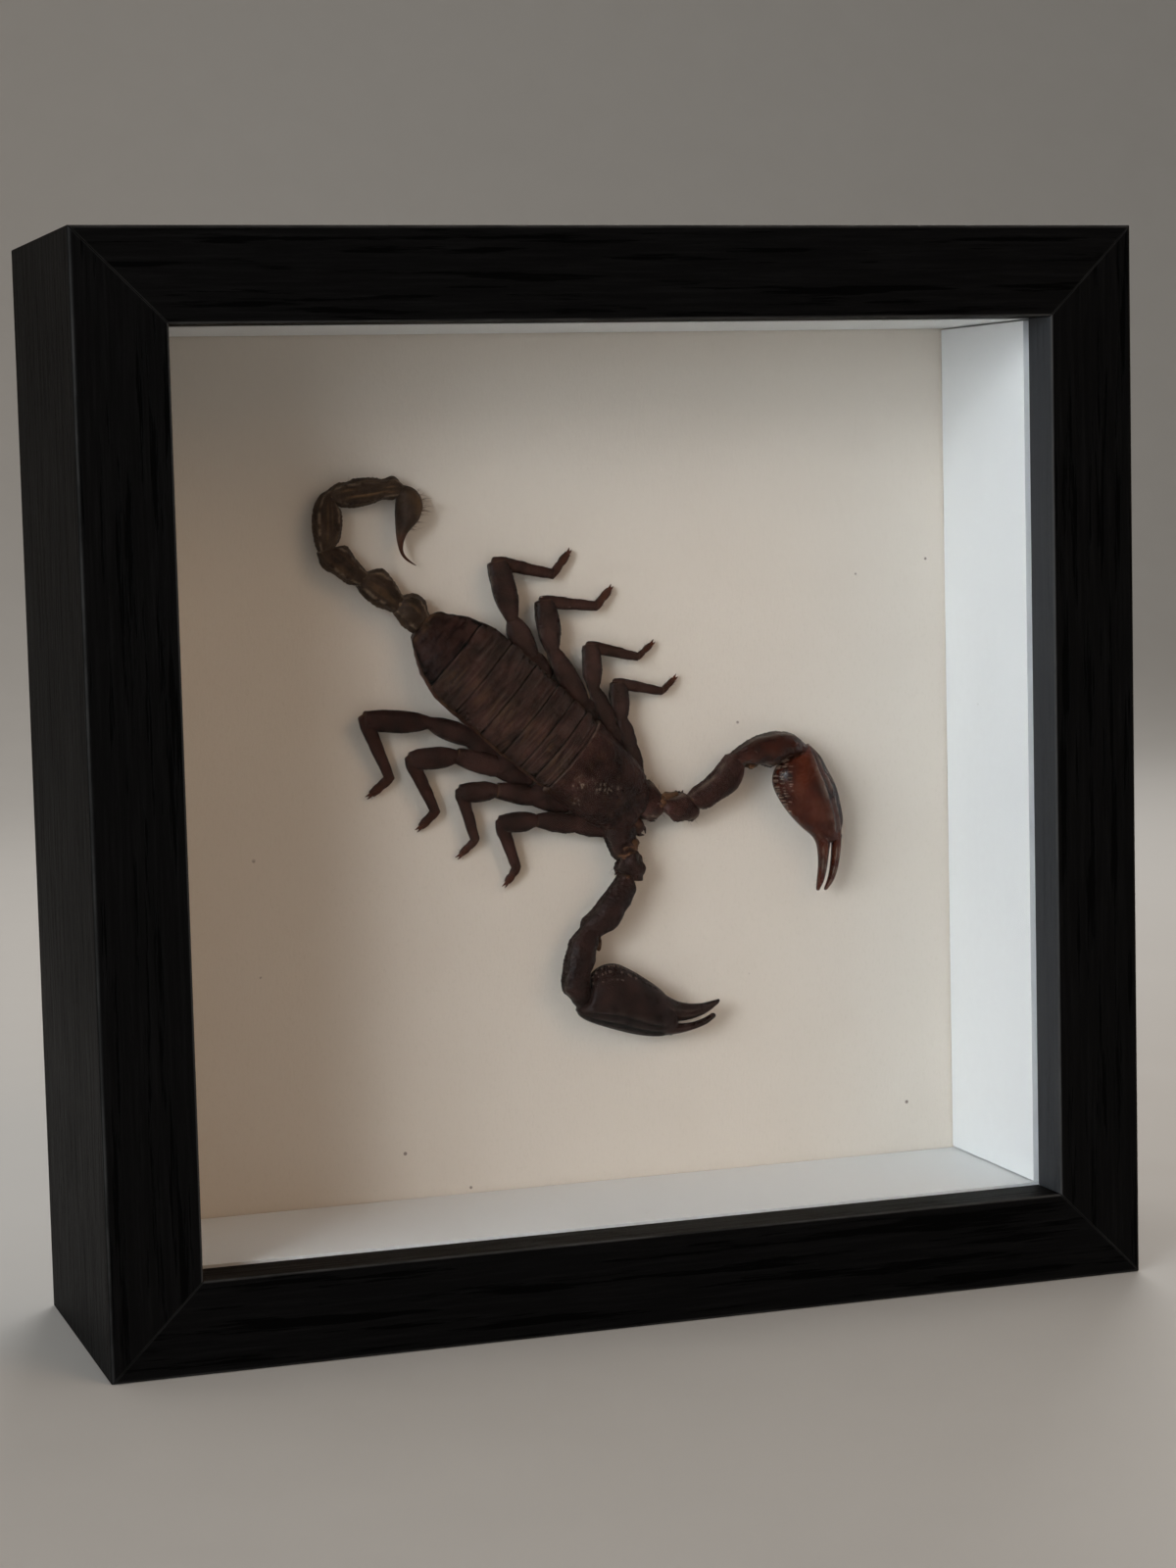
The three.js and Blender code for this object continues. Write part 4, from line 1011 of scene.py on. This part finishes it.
# Claw arms, from the body outwards, in rows like the tail's
CLAW_HEIGHT = 4.4
FINGERS = ("fixed_finger", "moving_finger")
CLAW_PARTS = ("hip_plate", "hip", "upper_arm", "forearm", "palm", *FINGERS)
CLAW_CAPS = {"palm": 2.4, "fixed_finger": 0.7, "moving_finger": 0.7}
CLAW_DROPS = {"hip_plate": 1.1, "hip": 0.4}
CLAW_SIDES = 80
CLAW_LEFT = [
    [[14, -3, 13.4, -10, 2.6], [16.2, -3.7, 16.4, -11.4, 2.9], [18.2, -4.2, 18.6, -11.6, 2.8],
     [20.3, -6.9, 20.5, -10.4, 2]],
    [[19.8, -7.2, 20.2, -10, 1.6], [22, -6.9, 22.2, -11.8, 2.2], [24.2, -6.6, 24.4, -12.1, 2.4],
     [26, -7.6, 26.4, -11.8, 2.1], [27.3, -8.6, 27.5, -11, 1.5]],
    [[25.4, -7, 27.6, -10, 1.9], [27.4, -5.6, 29.4, -9.9, 2.3], [30.2, -3.6, 32.2, -8.3, 2.6],
     [32.2, -1.4, 35.2, -6.7, 2.7], [33.6, 0.1, 36.7, -4.8, 2.5], [34.8, 0.3, 37.4, -2.6, 1.9]],
    [[34.2, 0.2, 36.6, -2, 1.8], [37, 2, 39, -1.8, 2.4], [40, 3.5, 41, -1.9, 2.7], [43, 4.1, 43.2, -2.4, 2.9],
     [46, 4.1, 45.8, -1.2, 2.8], [48.2, 3.3, 47.6, -0.5, 2.5], [50.4, 1.6, 49.8, -0.6, 1.9]],
    [[51.2, 1.6, 49.4, -0.3, 1.4], [52.7, 0.1, 46.6, -1.1, 2.6], [54.2, -2.4, 44.3, -2.6, 3.4],
     [55.8, -5.4, 43.4, -5, 3.9], [57, -8.4, 43.9, -7.4, 3.9], [57.6, -11.2, 45.3, -9.8, 3.6],
     [57.8, -13.2, 47.1, -12.4, 3.2], [57.8, -15, 49.2, -14.7, 2.7], [57.8, -16.4, 51.2, -16.4, 2.2]],
    [[55.5, -16, 51, -15.8, 2.1], [55.3, -18.8, 52.5, -18.2, 1.6], [54.9, -21.2, 52.9, -20.5, 1.4],
     [54.5, -23.6, 52.9, -23, 1.2], [53.9, -25.9, 52.6, -25.4, 0.9], [53.2, -27.3, 52.4, -27, 0.6]],
    [[57.8, -13, 55.7, -13.5, 1.7], [57.8, -16.8, 55.7, -16.6, 1.6], [57.7, -19.2, 55.9, -19, 1.4],
     [57.3, -22, 55.7, -21.6, 1.2], [56.7, -24.4, 55.3, -24, 1], [55.9, -26.2, 54.8, -25.8, 0.8],
     [54.9, -27.4, 54.2, -27.1, 0.5]],
]
CLAW_RIGHT = [
    [[16, -9.6, 7.8, -11.4, 2.6], [14.8, -13, 8, -13.4, 2.9], [14.6, -15.2, 8.8, -15.8, 2.8],
     [14.8, -17, 9.8, -18, 2.2], [14.4, -18.2, 10.6, -19.2, 1.7]],
    [[14.6, -17.6, 10.7, -18.4, 1.7], [15.9, -19.6, 10.6, -20.4, 2.3], [16, -21.6, 11, -21.6, 2.4],
     [15.6, -23.3, 11.6, -22.6, 1.8]],
    [[13.6, -22.6, 10.8, -22, 1.9], [14, -25.2, 9, -24.3, 2.4], [13, -27.6, 7, -26.6, 2.7],
     [11.6, -29.6, 4.8, -28.8, 2.8], [10.4, -31.6, 3.1, -30.6, 2.7], [9, -32.8, 2.8, -31.9, 2.4],
     [6.6, -33.8, 4, -32.9, 1.7]],
    [[5.6, -32.6, 2.9, -31.6, 1.8], [6.1, -34.8, 0.8, -34, 2.4], [5.4, -36.9, -0.2, -36.6, 2.7],
     [5.2, -38.8, -0.9, -39, 2.9], [4.2, -41.2, -1.3, -41.6, 2.9], [4.2, -43.8, -1.1, -44, 2.7],
     [4.4, -45.4, 0.2, -45.7, 2.3], [3.6, -47.2, 1.6, -47.6, 1.6]],
    [[2.6, -46.8, 1.5, -48.3, 1.4], [4.2, -44.6, 2.2, -49.4, 2.5], [4.6, -41.4, 4.6, -50.6, 3.3],
     [6.8, -39.7, 7.4, -51.7, 3.9], [9.6, -39.5, 10.2, -52.7, 4], [12.6, -40.8, 13, -53.5, 3.7],
     [15.6, -42.7, 15.8, -54.1, 3.3], [18.4, -44.8, 18.4, -54.4, 2.7], [20.2, -46.6, 20.2, -54.4, 2.2]],
    [[19.8, -46.3, 19.6, -51.2, 2.1], [22.4, -47.8, 22, -51.7, 1.7], [25, -48.5, 24.6, -51.6, 1.5],
     [27.6, -48.6, 27.2, -51, 1.2], [29.6, -48.3, 29.2, -50.1, 0.9], [30.8, -48.1, 30.4, -49.3, 0.6]],
    [[18, -51.5, 18, -54.3, 1.6], [20.4, -51.9, 20.4, -54.4, 1.5], [23, -52.4, 23, -54.2, 1.3],
     [25.6, -52.3, 26, -53.6, 1.1], [27.8, -51.7, 28.4, -52.8, 0.9], [29.4, -50.9, 30, -51.8, 0.6]],
]
PALM_RIDGES = {66: 0.55, 46: 0.4, 26: 0.4, 6: 0.2}  # heights by degrees in from the outer edge
# Beads along a palm's inner edge: degrees in from the edge, first and last share of the length, count
BEAD_ROWS = ((18, 0.1, 0.64, 15), (36, 0.12, 0.54, 12), (52, 0.16, 0.42, 8))
# Dried skin in the joints: middle on the board, half sizes
SKIN_LEFT = [
    ((22.2, -7.4), (2.1, 0.9, 1.9)), ((19.9, -8.6), (0.9, 1.5, 1.8)), ((38.9, -2.1), (1.3, 0.7, 1.4)),
]
SKIN_RIGHT = [
    ((12.6, -16.2), (2.4, 1.4, 2.1)), ((12.7, -18.3), (1.9, 0.7, 1.9)), ((12.4, -22.4), (1.5, 0.6, 1.8)),
    ((6.2, -35.0), (0.7, 1.4, 1.6)),
]


def build_arm(limb, part, seed):
    """Ridges of an arm segment: sawtoothed edges, two smooth keels with a hollow between, grains."""
    for degrees in (0, 180):
        limb.keel(degrees, 10, 0.24, 0.75)
    ridges = limb.keel(35, 9, 0.22) + limb.keel(145, 9, 0.22)
    limb.swell(-0.18 * limb.facing(24))
    angular = 0.8 if part == "hip" else 0.2
    limb.swell(0.13 * granules(limb.rings, 0.8, seed) + angular * noise(limb.rings, 1.9, seed + 1))
    return ridges


def build_palm(shell, limb, beaded_side, bead, bead_highlight, seed):
    """A broad smooth field between beads on the inner edge and ridges in a dark band on the outer one, with
    painted shade between the ridges.
    """
    fade = ease(limb.share, 0.04, 0.15) * (1 - ease(limb.share, 0.74, 0.92))
    outer_side = 180 - beaded_side
    ridges = 0
    for degrees, height in PALM_RIDGES.items():
        ridge = bell(limb.angle_from(abs(outer_side - degrees)), 0, 5) * fade
        limb.swell(height * ridge)
        ridges = ridges + ridge
    limb.swell(0.14 * noise(limb.rings, 3.4, seed + 2) * fade)
    # The beads are painted paler, as painted highlights on their tops
    for degrees, first, last, count in BEAD_ROWS:
        j = round(abs(beaded_side - degrees) / 360 * len(limb.turn))
        for share in np.linspace(first, last, count):
            i = int(np.searchsorted(limb.share[:, 0], share + 0.012 * rng.normal()))
            size = np.array(bead) * rng.uniform(0.7, 1.15) * (1 - degrees / 120)
            blob(shell, limb.rings[i, j] - 0.05 * limb.outward[i, j], size, 0.1, seed + count, rubbed=bead_highlight)
    # A dark band on the outer side, with painted shade between its ridges
    band = bell(limb.angle_from(abs(outer_side - 30)), 0, 34) * fade
    return ridges, band * (1 - np.clip(ridges, 0, 1))


def build_claw(name, rows_by_part, hand, slot, beaded_side, bead, skin, seed):
    shell = Shell()
    glossy = slot == "cuticle_red"
    for part, rows in zip(CLAW_PARTS, rows_by_part):
        cap = CLAW_CAPS.get(part, 0.45)
        height = CLAW_HEIGHT - CLAW_DROPS.get(part, 0)
        limb = Limb(at_height(rows, height), CLAW_SIDES, FINE_STEP, cap)
        finger = part in FINGERS
        shell.coat = 1 if finger or part in ("palm", "forearm") else 0
        soft, dark_band_and_groove_shade = 0.0, 0.0
        if part == "palm":
            ridges, dark_band_and_groove_shade = build_palm(shell, limb, beaded_side, bead, 0.5 if glossy else 0.25, seed)
        elif finger:
            ridges = limb.keel(75, 12, 0.16) + limb.keel(115, 12, 0.12)
            toothed = 180 if (part == "moving_finger") == (beaded_side > 90) else 0
            limb.keel(toothed, 20, 0.16, 0.7)
        else:
            ridges = build_arm(limb, part, seed)
            soft = 0.6 * limb.ends(0.5) * limb.patches(1.0, seed + 4, -0.3, 0.6)
        # Paler ridges: worn, and on the glossy claw also a painted highlight
        pale = (0.4 if glossy else 0.16) * ridges * limb.patches(1.4, seed + 5, -0.5, 0.4)
        dull = 0.4 if part == "forearm" or not glossy else 0.0
        shaded = 0.3 * (1 - limb.facing(55))
        shell.tube(limb.rings, tan=soft, rubbed=pale, black=dull + 0.5 * dark_band_and_groove_shade + shaded)
        if part in ("hip_plate", "hip"):
            bristles(shell, limb, count=26, length=1.6, share=(0.2, 0.9))
            spurs = {"count": 14, "length": 1.2, "thick": 0.6, "lean": 0.8}
            bristles(shell, limb, share=(0.1, 0.95), black=0.25, rubbed=0.03, **spurs)
        if finger or part == "palm":
            bristles(shell, limb, count=26, length=0.6, share=(0.1, 0.95), thick=0.028)
    shell.coat = 0
    for number, (middle, size) in enumerate(skin, seed + 20):
        blob(shell, (*middle, CLAW_HEIGHT - 0.4), size, 0.5, number, tan=0.24, red=0.15, black=0.15)
    shell.make("specimen_" + name, [cuticle_dark, hand], slot, "scorpion_" + name)


build_body()
build_tail()
for number, (name, (points, widths)) in enumerate(LEGS.items()):
    build_leg(name, points, widths, 60 + 10 * number)
build_claw("claw_left", CLAW_LEFT, cuticle_red, "cuticle_red", 180, (0.85, 0.22, 0.5), SKIN_LEFT, 200)
build_claw("claw_right", CLAW_RIGHT, cuticle_dark, "cuticle_dark", 0, (0.24, 0.4, 0.5), SKIN_RIGHT, 240)


# Stage: a pale floor that sweeps up into a backdrop far behind
STAGE_HALF = 3.2
STAGE_FRONT = -3.2
STAGE_BACK = 1.7
SWEEP_RADIUS = 0.8
STAGE_TOP = 2.6
SWEEP_STEPS = 16


def build_stage():
    bend = np.linspace(0, math.pi / 2, SWEEP_STEPS + 1)
    depths = [STAGE_FRONT, *(STAGE_BACK - SWEEP_RADIUS * (1 - np.sin(bend))), STAGE_BACK]
    heights = [0.0, *(SWEEP_RADIUS * (1 - np.cos(bend))), STAGE_TOP]
    points = [(x, y, cad_low.z + h) for y, h in zip(depths, heights) for x in (-STAGE_HALF, STAGE_HALF)]
    faces = [(2 * i, 2 * i + 1, 2 * i + 3, 2 * i + 2) for i in range(len(depths) - 1)]
    mesh = bpy.data.meshes.new("stage")
    mesh.from_pydata(points, [], faces)
    mesh.shade_smooth()
    graph = Graph("stage_paper")
    paper = graph.noise(40, detail=4)
    colour = graph.ramp(paper, (0.66, 0.66, 0.65), (0.70, 0.70, 0.69))
    mesh.materials.append(graph.finish(colour, graph.span(paper, 0.3, 0.7, 0.8, 0.9)))
    stage = add_object("stage", mesh)


build_stage()


# Light: a broad cool window from the left with a small bright part that shines on gloss, a warm room round it
MIDDLE = Vector((0, (cad_low.y + cad_high.y) / 2, MIDDLE_Z))
NEUTRAL = (1.0, 0.97, 0.93)
WORLD_COLOUR = (1.0, 0.84, 0.68, 1)
WORLD_STRENGTH = 0.14


def lamp(name, at, size, watts, colour, spread, mirrored=True):
    """A soft rectangle of light that faces the object, with its spread in degrees."""
    data = bpy.data.lights.new(name, "AREA")
    data.shape = "RECTANGLE"
    data.size, data.size_y = size
    data.energy = watts
    data.color = colour
    data.spread = math.radians(spread)
    # The pane lets the lamps' light through to the specimen only by direct sampling
    data.cycles.use_multiple_importance_sampling = False
    light = add_object(name, data)
    light.location = at
    light.visible_transmission = False
    light.visible_glossy = mirrored
    light.rotation_euler = (MIDDLE - light.location).to_track_quat("-Z", "Y").to_euler()


lamp("window", (-1.5, -1.1, 0.05), (1.2, 1.4), 4.7, (0.87, 0.95, 1.0), 75)
lamp("glint", (-1.25, -1.3, 0.55), (0.2, 0.3), 1.8, (0.93, 0.97, 1.0), 180)
lamp("room", (0.9, -1.6, 0.9), (1.2, 1.2), 0.9, (1.0, 0.66, 0.40), 60, mirrored=False)
lamp("above", (0.0, 0.1, 1.6), (1.6, 1.6), 3.5, NEUTRAL, 120)
lamp("behind", (0.6, 1.2, 0.7), (0.8, 0.8), 2.5, NEUTRAL, 90)
world = bpy.data.worlds.new("world")
world.use_nodes = True
background = world.node_tree.nodes["Background"].inputs
background["Color"].default_value = WORLD_COLOUR
background["Strength"].default_value = WORLD_STRENGTH
bpy.context.scene.world = world
bpy.context.scene.view_settings.view_transform = "Standard"
